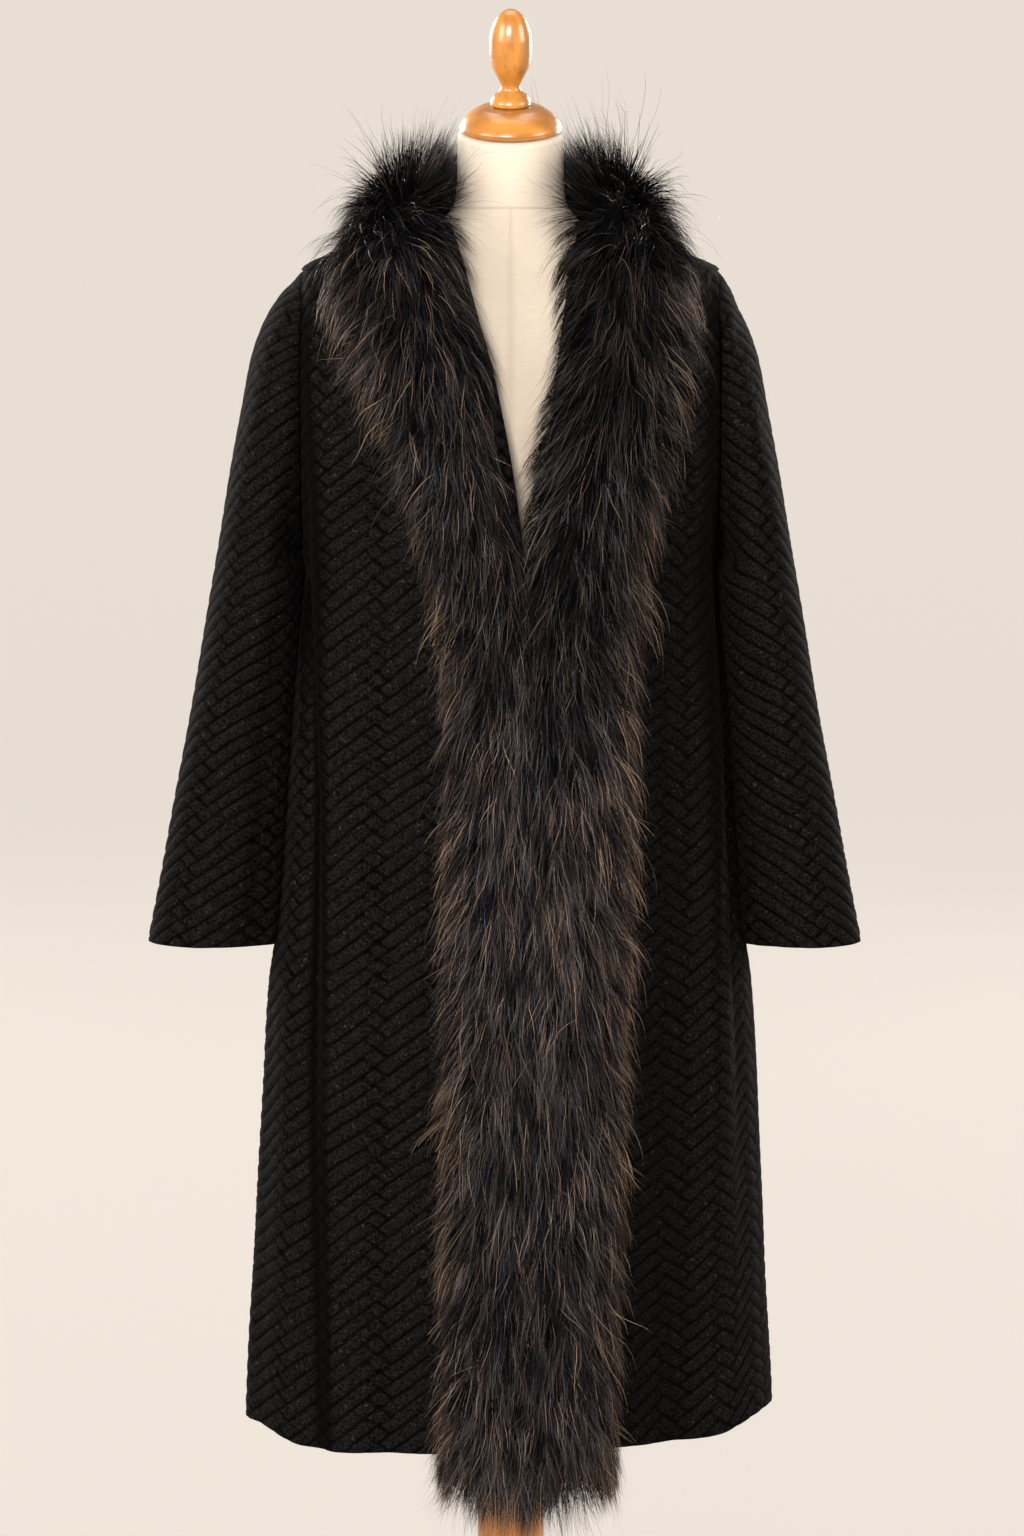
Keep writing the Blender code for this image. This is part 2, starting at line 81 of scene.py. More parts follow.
SECTION_PLACES = 721       # places along a quarter of the coat's section

# Coat body: height, half width, front depth, back depth, squareness
BODY_TABLE = [
    (0.200, 0.2735, 0.200, 0.180, 2.6),
    (0.241, 0.2715, 0.198, 0.178, 2.6),
    (0.400, 0.2625, 0.190, 0.172, 2.7),
    (0.600, 0.2510, 0.180, 0.164, 2.9),
    (0.700, 0.2445, 0.175, 0.160, 3.0),
    (0.760, 0.2360, 0.172, 0.157, 3.0),
    (0.950, 0.2240, 0.165, 0.151, 3.0),
    (1.050, 0.2160, 0.160, 0.147, 3.0),
    (1.125, 0.2105, 0.156, 0.143, 3.0),
    (1.200, 0.2105, 0.152, 0.140, 3.0),
    (1.280, 0.2105, 0.145, 0.136, 2.9),
    (1.350, 0.2105, 0.133, 0.130, 2.7),
    (1.400, 0.2105, 0.116, 0.118, 2.4),
    (1.421, 0.2105, 0.105, 0.109, 2.3),
    (1.450, 0.1345, 0.086, 0.092, 2.2),
    (1.480, 0.0550, 0.066, 0.074, 2.1),
]

# Neck opening: height, x of the right front's edge, x of the left front's edge
OPENING_TABLE = [
    (1.100, 0.0165, 0.0185),
    (1.120, 0.0150, 0.0200),
    (1.200, 0.0060, 0.0300),
    (1.300, -0.0120, 0.0420),
    (1.380, -0.0330, 0.0530),
    (1.440, -0.0500, 0.0620),
    (1.480, -0.0640, 0.0740),
]

# Folds of the body.  Each is where it runs (height, then x seen from the front; or, for the
# side and back, degrees from the centre front), how far it stands out at those heights, and
# how wide it is towards the centre front and towards the side, in metres.
FOLDS_RIGHT = [
    ("x", (1.42, 0.196, 0.003), (1.28, 0.192, 0.005), (1.13, 0.189, 0.007), (0.90, 0.186, 0.009),
     (0.50, 0.178, 0.008), (0.24, 0.172, 0.006), 0.036, 0.022),
    ("x", (1.42, 0.209, 0.000), (1.28, 0.208, 0.000), (1.13, 0.206, -0.010), (0.90, 0.202, -0.019),
     (0.70, 0.202, -0.014), (0.55, 0.200, -0.008), (0.24, 0.196, -0.005), 0.018, 0.022),
    ("x", (1.10, 0.112, 0.000), (0.70, 0.118, -0.002), (0.24, 0.122, -0.005), 0.020, 0.024),
    ("angle", (1.12, 86.0, 0.000), (0.95, 84.0, 0.002), (0.24, 74.0, 0.007), 0.018, 0.026),
    ("angle", (1.16, 100.0, 0.004), (0.95, 101.0, 0.007), (0.24, 101.0, 0.004), 0.020, 0.022),
    ("angle", (0.90, 118.0, 0.000), (0.24, 121.0, -0.009), 0.024, 0.024),
    ("angle", (1.30, 134.0, 0.000), (1.05, 137.0, 0.005), (0.24, 139.0, 0.008), 0.022, 0.030),
    ("angle", (1.05, 156.0, 0.000), (0.24, 158.0, -0.007), 0.024, 0.022),
]
FOLDS_LEFT = [
    ("x", (1.42, 0.194, 0.003), (1.28, 0.190, 0.004), (1.13, 0.194, 0.005), (0.80, 0.211, 0.006),
     (0.50, 0.214, 0.004), (0.24, 0.216, 0.002), 0.040, 0.016),
    ("x", (1.13, 0.207, -0.003), (0.80, 0.226, -0.006), (0.50, 0.235, -0.002),
     (0.24, 0.238, 0.000), 0.012, 0.016),
    ("x", (1.00, 0.156, 0.000), (0.60, 0.160, -0.004), (0.24, 0.165, -0.007), 0.022, 0.020),
    ("angle", (1.12, 88.0, 0.000), (0.95, 86.0, 0.002), (0.24, 77.0, 0.002), 0.018, 0.024),
    ("angle", (0.60, 92.0, 0.000), (0.40, 92.0, -0.003), (0.24, 92.0, -0.007), 0.050, 0.050),
    ("angle", (1.16, 101.0, 0.004), (0.95, 102.0, 0.007), (0.24, 104.0, 0.002), 0.020, 0.022),
    ("angle", (0.85, 121.0, 0.000), (0.24, 124.0, -0.008), 0.026, 0.024),
    ("angle", (1.25, 141.0, 0.000), (1.00, 143.0, 0.006), (0.24, 146.0, 0.007), 0.026, 0.026),
    ("angle", (1.10, 163.0, 0.000), (0.24, 165.0, -0.006), 0.020, 0.026),
]

# Sleeve: outer line x and z, inner line x and z, half of the front-to-back size, y of the
# middle.  The two shifts move the left sleeve's outer and inner lines in x.
SLEEVE_TABLE = [
    (0.2109, 1.4210, 0.2109, 1.1290, 0.0950, 0.000),
    (0.2180, 1.4125, 0.2160, 1.1275, 0.0952, 0.000),
    (0.2320, 1.3985, 0.2190, 1.1230, 0.0950, 0.000),
    (0.2490, 1.3725, 0.2205, 1.1150, 0.0935, -0.002),
    (0.2635, 1.3340, 0.2215, 1.1020, 0.0905, -0.004),
    (0.2730, 1.2820, 0.2220, 1.0850, 0.0865, -0.007),
    (0.2835, 1.2220, 0.2225, 1.0620, 0.0815, -0.011),
    (0.2950, 1.1520, 0.2235, 1.0300, 0.0765, -0.015),
    (0.3090, 1.0700, 0.2255, 0.9850, 0.0720, -0.020),
    (0.3240, 0.9850, 0.2290, 0.9300, 0.0685, -0.025),
    (0.3410, 0.8900, 0.2340, 0.8600, 0.0650, -0.029),
    (0.3570, 0.8050, 0.2385, 0.7880, 0.0625, -0.032),
    (0.3700, 0.7400, 0.2415, 0.7270, 0.0600, -0.034),
]
LEFT_OUTER_SHIFT = -0.0120
LEFT_INNER_SHIFT = 0.0040

# Drape lines of the sleeves: height and x where each runs, how far it stands out, its spread
CREASES_RIGHT = [
    (((1.400, 0.222), (1.368, 0.231), (1.323, 0.245), (1.275, 0.259), (1.200, 0.270)),
     0.0042, 0.016),
    (((1.380, 0.217), (1.300, 0.226), (1.200, 0.236), (1.050, 0.252)), 0.0034, 0.012),
    (((1.080, 0.236), (0.900, 0.252), (0.745, 0.262)), -0.0040, 0.012),
    (((1.150, 0.272), (0.950, 0.300), (0.745, 0.322)), 0.0030, 0.018),
]
CREASES_LEFT = [
    (((1.402, 0.210), (1.345, 0.223), (1.285, 0.240), (1.200, 0.264), (1.140, 0.275)),
     0.0045, 0.015),
    (((1.370, 0.214), (1.280, 0.222), (1.180, 0.232), (1.050, 0.245)), 0.0030, 0.012),
    (((1.060, 0.240), (0.880, 0.256), (0.745, 0.268)), -0.0036, 0.013),
    (((1.120, 0.262), (0.940, 0.288), (0.745, 0.312)), 0.0030, 0.018),
]

# Quilting
SLANT = 0.73               # rise of a quilted channel for each metre across
WAVER = 0.0030             # how far the stitch lines stray from a straight line
STITCH_DEPTH = 0.55        # share of the puff that lies below the pattern's skin
EDGE_PUFF = 0.35           # share of the puff that is left at a panel's edge
UNEVENNESS = 0.0011        # the quilted cloth rises and sinks by this
INNER_ROWS = 7             # the plain inner side takes every seventh row
INNER_COLUMNS = 26         # and this many places along it

# Fur below the collar: height, inner x and outer x on the wearer's right, the same on the
# left, thickness of the pile
FUR_FRONT_TABLE = [
    (0.178, 0.0000, -0.0350, 0.0260, 0.0850, 0.028),
    (0.205, 0.0130, -0.0640, 0.0200, 0.1050, 0.036),
    (0.245, 0.0160, -0.0780, 0.0190, 0.1140, 0.040),
    (0.400, 0.0165, -0.0780, 0.0185, 0.1170, 0.042),
    (0.600, 0.0165, -0.0750, 0.0185, 0.1230, 0.042),
    (0.800, 0.0165, -0.0735, 0.0185, 0.1300, 0.043),
    (1.000, 0.0165, -0.0760, 0.0185, 0.1350, 0.044),
    (1.100, 0.0160, -0.0880, 0.0190, 0.1450, 0.045),
    (1.200, 0.0060, -0.1130, 0.0270, 0.1700, 0.046),
    (1.290, -0.0140, -0.1480, 0.0400, 0.1900, 0.048),
    (1.350, -0.0300, -0.1740, 0.0480, 0.2000, 0.050),
]

# Collar, one side: inner edge x, y, z, outer edge x, y, z, thickness of the pile
COLLAR_TABLE = [
    (0.0470, -0.1060, 1.4100, 0.1860, -0.1020, 1.3950, 0.058),
    (0.0570, -0.0800, 1.4580, 0.1830, -0.0640, 1.4230, 0.064),
    (0.0610, -0.0350, 1.4900, 0.1780, -0.0250, 1.4380, 0.068),
    (0.0620, 0.0100, 1.5000, 0.1720, 0.0250, 1.4410, 0.068),
    (0.0580, 0.0500, 1.5010, 0.1540, 0.0850, 1.4220, 0.067),
    (0.0370, 0.0780, 1.4980, 0.0930, 0.1330, 1.3850, 0.064),
    (0.0002, 0.0870, 1.4960, 0.0002, 0.1530, 1.3600, 0.060),
]
FUR_CLEAR = 0.0020         # the pile's underside stands this far off the cloth
COLLAR_CLEAR = 0.0045      # and this far where it turns over the shoulders
PILE_SLIMMING = 0.30       # the pile is this much thinner at the outer edge than the inner
ROOT_INSET = 0.018         # the hairs are rooted this far inside the outer edge
FUR_LIMIT_FRONT = -0.238   # hairs bend back once they reach this far forward
FUR_LIMIT_BACK = 0.197     # or this far backward
FUR_LIMIT_SOFT = 0.018     # and never pass it by more than this
PELT_COLUMNS = 15          # places across the pelt, from its inner edge to its outer edge
COLLAR_ROWS = 31           # rows of the pelt along the collar
# Parts of the pelt: name, the rows of the pelt that it lies between, share of the hairs
HAIR_SPANS = (("lower", 0, 32, 0.51), ("collar", 32, 80, 0.49))

# Kinds of hair: segments of its ribbon, hairs to a lock, spread of the lean and of the lift
# within a lock, how far the lock holds its hairs, half of the ribbon's width, brightness at
# the root, which paints the shade deep in the pile, and the power by which it grows towards
# the tip
HAIR_KINDS = {
    "under": (3, 22, 0.10, 0.14, 0.66, 0.00044, 0.04, 1.4),
    "guard": (6, 7, 0.16, 0.20, 0.42, 0.00025, 0.07, 1.1),
    "stray": (7, 1.5, 0.42, 0.38, 0.00, 0.00018, 0.60, 1.0),
}
# Lean of the hairs from straight down the trim, in degrees, out being positive: place along
# the pelt from 0 to 1, lean at its inner and outer edge on the right, and the same on the left
LEAN_TABLE = [
    (0.00, -6, 30, -6, 26),
    (0.44, -4, 36, -10, 32),
    (0.52, -3, 40, -34, 38),
    (0.58, -14, 46, -46, 46),
    (0.64, -40, 56, -54, 56),
    (0.72, -64, 68, -70, 68),
    (0.80, -85, 80, -85, 80),
    (0.90, -95, 88, -95, 88),
    (1.00, -100, 90, -100, 90),
]
STRAY_SHARE = 0.050        # stray hairs for each guard hair
BRIGHT_SHARE = 0.14        # share of the long hairs that are bright
STRONGEST = 0.36           # no hair's colour is stronger than this

# Dress form: height, half width, front depth, back depth
FORM_TABLE = [
    (0.780, 0.1480, 0.098, 0.108),
    (0.860, 0.1580, 0.103, 0.122),
    (0.950, 0.1500, 0.100, 0.114),
    (1.050, 0.1260, 0.095, 0.096),
    (1.150, 0.1400, 0.110, 0.100),
    (1.250, 0.1560, 0.122, 0.106),
    (1.330, 0.1650, 0.108, 0.106),
    (1.380, 0.1720, 0.088, 0.097),
    (1.410, 0.1680, 0.070, 0.085),
    (1.435, 0.1300, 0.061, 0.074),
    (1.455, 0.0930, 0.056, 0.066),
    (1.475, 0.0665, 0.054, 0.060),
    (1.492, 0.0560, 0.053, 0.057),
    (1.515, 0.0540, 0.053, 0.056),
    (1.562, 0.0535, 0.053, 0.056),
]
NECK_TOP_Z = 1.562
NECK_TILT = radians(15.0)
NECK_SEAM_Z = 1.4835       # the seam where the neck's cover joins the body's
FORM_SEAM_HALF = 0.0011    # half of the width of the form's seams
FORM_SEAM_DIP = 0.0006     # and their depth
NECK_ROUNDING = 0.004      # the neck's top edge is rounded by this
FORM_SIDES = 160

# Turned wood: radius and height along the axis
TURNED_SIDES = 64
CAP_PROFILE = [
    (0.0495, 0.0000), (0.0515, 0.0015), (0.0515, 0.0050), (0.0500, 0.0085),
    (0.0470, 0.0125), (0.0430, 0.0165), (0.0375, 0.0205), (0.0306, 0.0240), (0.0195, 0.0258),
]
FINIAL_PROFILE = [
    (0.0190, 0.0262), (0.0204, 0.0275), (0.0204, 0.0300), (0.0192, 0.0330), (0.0168, 0.0365),
    (0.0124, 0.0405), (0.0100, 0.0440), (0.0098, 0.0460), (0.0104, 0.0485), (0.0122, 0.0525),
    (0.0145, 0.0568), (0.0184, 0.0650), (0.0204, 0.0730), (0.0214, 0.0830), (0.0214, 0.0930),
    (0.0204, 0.1000), (0.0184, 0.1070), (0.0148, 0.1145), (0.0100, 0.1200), (0.0050, 0.1235),
]
COLUMN_PROFILE = [
    (0.0420, 0.0284), (0.0435, 0.0310), (0.0435, 0.0390), (0.0400, 0.0440), (0.0362, 0.0520),
    (0.0350, 0.0700), (0.0345, 0.1100), (0.0332, 0.1700), (0.0310, 0.3000), (0.0285, 0.5000),
    (0.0265, 0.6800), (0.0300, 0.7300), (0.0420, 0.7550), (0.0430, 0.7600), (0.0430, 0.7796),
]
BASE_PROFILE = [
    (0.1920, 0.0000), (0.1960, 0.0030), (0.1960, 0.0120), (0.1930, 0.0170), (0.1860, 0.0200),
    (0.1780, 0.0215), (0.1200, 0.0240), (0.0600, 0.0280),
]

# Studio: each lamp's name, place, what it points at, width and height, watts and colour
LAMPS = [
    ("left", (-4.4, -3.2, 2.6), (-0.1, 0.0, 1.0), (2.2, 2.8), 290.0, (1.0, 0.97, 0.94)),
    ("right", (4.6, -2.0, 2.3), (0.1, 0.0, 1.0), (2.0, 2.8), 230.0, (1.0, 0.97, 0.94)),
    ("front", (-1.1, -6.3, 2.8), (0.0, 0.0, 1.1), (2.2, 2.0), 610.0, (1.0, 0.97, 0.94)),
    ("top", (0.0, 0.4, 4.4), (0.0, 0.0, 1.2), (2.4, 2.4), 70.0, (1.0, 0.98, 0.95)),
    ("back_left", (-3.4, 4.4, 2.6), (0.0, 0.0, 1.1), (2.2, 2.2), 430.0, (1.0, 0.98, 0.95)),
    ("back_right", (3.0, 4.6, 2.3), (0.0, 0.0, 1.1), (2.0, 2.0), 360.0, (1.0, 0.98, 0.95)),
]
COVE_RADIUS = 10.5         # the floor is flat up to here
COVE_CURVE = 2.5           # radius of the curve between the floor and the wall
COVE_SIDES = 128


# ---- user's sizes and colours
class CoatWool(bpy.types.PropertyGroup):
    """Quilted wool of the coat"""

    channel: FloatProperty(
        name="Channel width", description="Width of one quilted channel across its stitching",
        default=0.0127, min=0.006, max=0.03, unit="LENGTH")
    puff: FloatProperty(
        name="Puff", description="How far a channel stands out between its stitch lines",
        default=0.0019, min=0.0, max=0.005, unit="LENGTH")
    samples: IntProperty(
        name="Samples", description="Mesh steps across one channel's slanting pitch",
        default=6, min=3, max=8)
    colour: FloatVectorProperty(
        name="Colour", description="Base colour of the wool", subtype="COLOR", size=3,
        default=(0.0031, 0.0028, 0.0028), min=0.0, max=1.0)
    fleck: FloatVectorProperty(
        name="Fleck colour", description="Colour of the pale fibres in the wool",
        subtype="COLOR", size=3, default=(0.032, 0.028, 0.026), min=0.0, max=1.0)


class CoatFur(bpy.types.PropertyGroup):
    """Fur of the collar and the front edges"""

    hairs: IntProperty(
        name="Underfur hairs", description="Short hairs on each side of the coat",
        default=31000, min=500, max=80000)
    guard_hairs: IntProperty(
        name="Guard hairs", description="Long hairs on each side of the coat",
        default=11500, min=500, max=40000)
    length: FloatProperty(
        name="Length", description="Length of a guard hair", default=0.056, min=0.02, max=0.1,
        unit="LENGTH")
    dark: FloatVectorProperty(
        name="Underfur colour", description="Colour of the dense underfur", subtype="COLOR",
        size=3, default=(0.0032, 0.0034, 0.0055), min=0.0, max=1.0)
    tan: FloatVectorProperty(
        name="Guard hair colour", description="Colour of the brown guard hairs",
        subtype="COLOR", size=3, default=(0.192, 0.124, 0.074), min=0.0, max=1.0)


class CoatStand(bpy.types.PropertyGroup):
    """Calico form and turned wood"""

    calico: FloatVectorProperty(
        name="Calico", description="Colour of the form's cover", subtype="COLOR", size=3,
        default=(0.445, 0.377, 0.302), min=0.0, max=1.0)
    wood: FloatVectorProperty(
        name="Wood", description="Main colour of the varnished wood", subtype="COLOR", size=3,
        default=(0.355, 0.135, 0.019), min=0.0, max=1.0)
    backdrop: FloatVectorProperty(
        name="Backdrop", description="Colour of the studio's floor and wall", subtype="COLOR",
        size=3, default=(0.93, 0.845, 0.755), min=0.0, max=1.0)


# ---- curves
def column_at(table, column, at):
    """A column of a table as a smooth curve of its first column, without overshoot."""
    keys = np.array([row[0] for row in table])
    values = np.array([row[column] for row in table])
    steps = np.diff(keys)
    slopes = np.diff(values) / steps
    tangents = np.zeros(len(keys))
    same_way = slopes[:-1] * slopes[1:] > 0.0
    total = slopes[:-1] + slopes[1:]
    safe = np.where(same_way, total, 1.0)
    tangents[1:-1] = np.where(same_way, 2.0 * slopes[:-1] * slopes[1:] / safe, 0.0)
    tangents[0] = slopes[0]
    tangents[-1] = slopes[-1]
    at = np.clip(np.asarray(at, dtype=float), keys[0], keys[-1])
    k = np.clip(np.searchsorted(keys, at) - 1, 0, len(steps) - 1)
    t = (at - keys[k]) / steps[k]
    start = values[k] * (1 + 2 * t) * (1 - t) ** 2 + tangents[k] * steps[k] * t * (1 - t) ** 2
    end = values[k + 1] * t * t * (3 - 2 * t) + tangents[k + 1] * steps[k] * t * t * (t - 1)
    return start + end


def row_at(table, z):
    """The values of a table's row at a height."""
    return [float(column_at(table, column, z)) for column in range(1, len(table[0]))]


def along(table, count):
    """Every column of a table, taken at evenly spaced places along its rows."""
    numbered = [(float(i),) + tuple(row) for i, row in enumerate(table)]
    at = np.linspace(0.0, len(table) - 1.0, count)
    return np.array([column_at(numbered, c + 1, at) for c in range(len(table[0]))]).T


def smooth_step(low, high, at):
    """0 at low, 1 at high, and between them a slope that starts and ends gently."""
    t = np.clip((at - low) / (high - low), 0.0, 1.0)
    return t * t * (3.0 - 2.0 * t)


def unit(vectors):
    return vectors / (np.linalg.norm(vectors, axis=-1, keepdims=True) + 1e-12)


def running(steps):
    """Lengths from the start of a line to each of its points, from the lengths of its steps."""
    return np.concatenate([[0.0], np.cumsum(steps)])


def line_lengths(points):
    return running(np.linalg.norm(np.diff(points, axis=0), axis=1))


def sampled(at, far, points):
    """Points of a line at the given lengths along it."""
    return np.stack([np.interp(at, far, points[:, axis]) for axis in range(3)], axis=1)


def ripple(a, b, seed):
    """Smooth repeatable unevenness of two coordinates in metres, roughly from -1 to 1."""
    phase = np.random.default_rng(seed).uniform(0.0, 2.0 * pi, 5)
    value = np.sin(31.0 * a + 17.0 * b + phase[0]) + np.sin(-23.0 * a + 29.0 * b + phase[1])
    value = value + 0.7 * np.sin(57.0 * a - 41.0 * b + phase[2])
    value = value + 0.6 * np.sin(11.0 * a + 73.0 * b + phase[3])
    return (value + 0.5 * np.sin(93.0 * a + 13.0 * b + phase[4])) / 3.0


# ---- sections of the coat
def armhole_half_depth(z):
    """Half of the armhole's front-to-back size at a height."""
    middle = 0.5 * (SHOULDER_TIP_Z + ARMPIT_Z)
    half = 0.5 * (SHOULDER_TIP_Z - ARMPIT_Z)
    return ARMHOLE_DEPTH * sqrt(max(1.0 - ((z - middle) / half) ** 2, 0.0))


def section_sizes(z, back):
    """Half width, depth and squareness of the coat's outer skin at a height."""
    width, front_depth, back_depth, power = row_at(BODY_TABLE, z)
    depth = back_depth if back else front_depth
    if ARMPIT_Z < z < SHOULDER_TIP_Z:
        share = min(armhole_half_depth(z) / depth, 0.97) ** power
        width = ARMHOLE_X / (1.0 - share) ** (1.0 / power)
    return width, depth, power


def fold_reach(theta, far, z, width, power, left, back):
    """How far the folds stand out at each place of a section at a height."""
    past_side = 0.16       # metres along the section for each radian past its side
    total = np.zeros_like(far)
    for fold in (FOLDS_LEFT if left else FOLDS_RIGHT):
        places = np.array(fold[1:-2])[::-1]
        where = float(np.interp(z, places[:, 0], places[:, 1]))
        height = float(np.interp(z, places[:, 0], places[:, 2]))
        if fold[0] == "x":
            turn = np.arcsin(min((where / width) ** (0.5 * power), 1.0))
        else:
            turn = radians(where)
        if back:
            turn = pi - turn
        place = np.interp(turn, theta, far) + past_side * max(turn - 0.5 * pi, 0.0)
        s = place - far if back else far - place
        total = total + height * np.exp(-(s / np.where(s < 0.0, fold[-2], fold[-1])) ** 2)
    return total


def body_curve(z, left, back):
    """The outer skin at a height, from the middle of the coat to its side: x, y and lengths."""
    width, depth, power = section_sizes(z, back)
    theta = np.linspace(0.0, 0.5 * pi, SECTION_PLACES)
    x = width * np.sin(theta) ** (2.0 / power)
    y = depth * np.cos(theta) ** (2.0 / power)
    plain = running(np.hypot(np.diff(x), np.diff(y)))
    reach = fold_reach(theta, plain, z, width, power, left, back)
    tangent_x = np.gradient(x)
    tangent_y = np.gradient(y)
    length = np.hypot(tangent_x, tangent_y) + 1e-12
    out_x, out_y = -tangent_y / length, tangent_x / length
    armhole = ARMPIT_Z < z < SHOULDER_TIP_Z
    if armhole:
        # the folds die out towards the seam, which keeps its line
        reach = reach * smooth_step(0.001, 0.012, ARMHOLE_X - x)
    x = x + reach * out_x
    y = y + reach * out_y
    if armhole:
        keep = plain <= np.interp(ARMHOLE_X, x[:-1], plain[:-1])
        edge = (ARMHOLE_X, max(armhole_half_depth(z), 0.5 * SEAM_GAP))
    else:
        keep = y >= 0.5 * SEAM_GAP
        edge = (float(x[keep][-1]), 0.5 * SEAM_GAP)
    x = np.concatenate([x[keep], [edge[0]]])
    y = np.concatenate([y[keep], [edge[1]]])
    far = running(np.hypot(np.diff(x), np.diff(y)))
    sign = 1.0 if left else -1.0
    points = np.stack([sign * x, y if back else -y, np.full(len(x), z)], axis=1)
    side_rise = HEM_RISE_LEFT if left else HEM_RISE_RIGHT
    side_rise = side_rise * smooth_step(0.205, 0.268, np.abs(points[:, 0]))
    points[:, 2] += (HEM_TILT * points[:, 0] + side_rise) * smooth_step(0.75, 0.25, z)
    return seam_dip(points), far


def seam_dip(points):
    """Draws points near an armhole seam in towards the armhole's middle, so the seam shows."""
    flatten = 0.65         # the armhole's size from front to back as a share of its height
    near = np.exp(-((np.abs(points[:, 0]) - ARMHOLE_X) / ARMHOLE_DIP_REACH) ** 2)
    near = near * smooth_step(1.10, 1.16, points[:, 2]) * smooth_step(1.405, 1.350, points[:, 2])
    y, z = points[:, 1], points[:, 2] - SLEEVE_HEAD_Z
    reach = np.hypot(y, flatten * z) + 1e-6
    near = near * smooth_step(0.030, 0.060, reach) * ARMHOLE_DIP
    points = points.copy()
    points[:, 1] -= near * y / reach
    points[:, 2] -= near * flatten * z / reach
    return points


def front_curve(z, edge_x, left):
    """A front's row from its edge to the side, with lengths from the coat's parting line."""
    points, far = body_curve(z, left, False)
    inside = edge_x if left else -edge_x
    facing = slice(0, 400)     # the part of the row before it turns to the side
    across = np.abs(points[facing, 0])
    start = float(np.interp(abs(inside), across, far[facing]))
    y = float(np.interp(abs(inside), across, points[facing, 1]))
    begin = np.array([[edge_x, y, points[0, 2]]])
    if inside >= 0.0:
        keep = far > start + 1e-6
        return np.concatenate([begin, points[keep]]), np.concatenate([[start], far[keep]])
    return np.concatenate([begin, points]), np.concatenate([[-start], far + 1e-6])


def sleeve_curves(left, levels):
    """The sleeve's rows at even heights: each runs round from the underarm over the outer line."""
    stations = along(SLEEVE_TABLE, 121)
    if left:
        stations[:, 0] += LEFT_OUTER_SHIFT * smooth_step(SHOULDER_TIP_Z, 1.38, stations[:, 1])
        stations[:, 2] += LEFT_INNER_SHIFT * smooth_step(1.05, 0.75, stations[:, 3])
    angle = np.linspace(-pi, pi, 361)
    around = 0.5 * np.cos(angle)
    outer_x, outer_z, inner_x, inner_z, depth, middle = stations.T[:, :, None]
    sign = 1.0 if left else -1.0
    x = sign * (0.5 * (outer_x + inner_x) + (outer_x - inner_x) * around)
    z = 0.5 * (outer_z + inner_z) + (outer_z - inner_z) * around
    y = middle + depth * np.sin(angle)
    tube = np.stack([x, y, z], axis=2)
    last = len(stations) - 1
    steps = np.arange(last + 1.0)
    c = np.arange(len(angle))
    rows = []
    for level in levels:
        # every meridian falls steadily from the armhole to the cuff, so it meets a level once
        place = np.array([np.interp(-level, -z[:, m], steps, left=-1.0, right=last) for m in c])
        on_sleeve = place >= 0.0
        k = np.clip(place.astype(int), 0, last - 1)
        t = np.clip(place - k, 0.0, 1.0)[:, None]
        points = (tube[k, c] * (1 - t) + tube[k + 1, c] * t)[on_sleeve]
        if not on_sleeve.all():
            rise = (level - SLEEVE_HEAD_Z) / SLEEVE_HEAD_HALF
            half = ARMHOLE_DEPTH * sqrt(max(1.0 - rise ** 2, 0.0))
            ends = [[sign * SLEEVE_HEAD_X, side * half, level] for side in (-1.0, 1.0)]
            points = np.concatenate([ends[:1], points, ends[1:]])
        far = line_lengths(points)
        middle_at = far[np.argmax(np.abs(points[:, 0]))]
        rows.append((seam_dip(crease(tucked_in(points, left), left)), far - middle_at))
    return rows


def tucked_in(points, left):
    """Lays the sleeve's inner side against the coat's body below the armpit."""
    level = float(points[0, 2])
    hang = float(smooth_step(1.136, 1.126, level))
    if hang <= 0.0:
        return points
    front, _ = body_curve(level, left, False)
    back, _ = body_curve(level, left, True)
    line = np.concatenate([front[::-1], back])
    line = line[np.argsort(line[:, 1])]
    across = np.abs(points[:, 0])
    middle = 0.5 * (across.min() + across.max())
    body = np.interp(points[:, 1], line[:, 1], np.abs(line[:, 0]))
    gap = across - body
    near = smooth_step(middle, across.min(), across) * hang
    # it moves in by up to 12.5 mm, and where it would cut into the body out by up to 4 mm
    least = 0.0002 + 0.0020 * smooth_step(1.124, 1.108, level)
    wanted = np.maximum(gap - 0.0125, least)
    moved = across + (np.minimum(wanted, gap + 0.004) - gap) * near
    points = points.copy()
    points[:, 0] = np.sign(points[:, 0]) * moved
    # the underarm sags a little, so nothing shows between it and the body
    points[:, 2] -= 0.006 * near * smooth_step(1.095, 1.120, level)
    return points


def crease(points, left):
    """Drape lines that fall from the shoulder over the front and the back of the sleeve."""
    total = np.zeros(len(points))
    level = points[:, 2]
    across = np.abs(points[:, 0])
    for line, height, spread in (CREASES_LEFT if left else CREASES_RIGHT):
        places = np.array(line)[::-1]
        where = np.interp(level, places[:, 0], places[:, 1])
        lasts = smooth_step(places[0, 0] - 0.05, places[0, 0] + 0.03, level)
        lasts = lasts * smooth_step(places[-1, 0] + 0.01, places[-1, 0] - 0.03, level)
        s = across - where
        total = total + height * lasts * np.exp(-(s / np.where(s < 0, spread, 0.6 * spread)) ** 2)
    points = points.copy()
    middle = 0.5 * (points[:, 1].min() + points[:, 1].max())
    away = points[:, 1] - middle
    points[:, 1] += total * np.sign(away) * smooth_step(0.004, 0.03, np.abs(away))
    return points


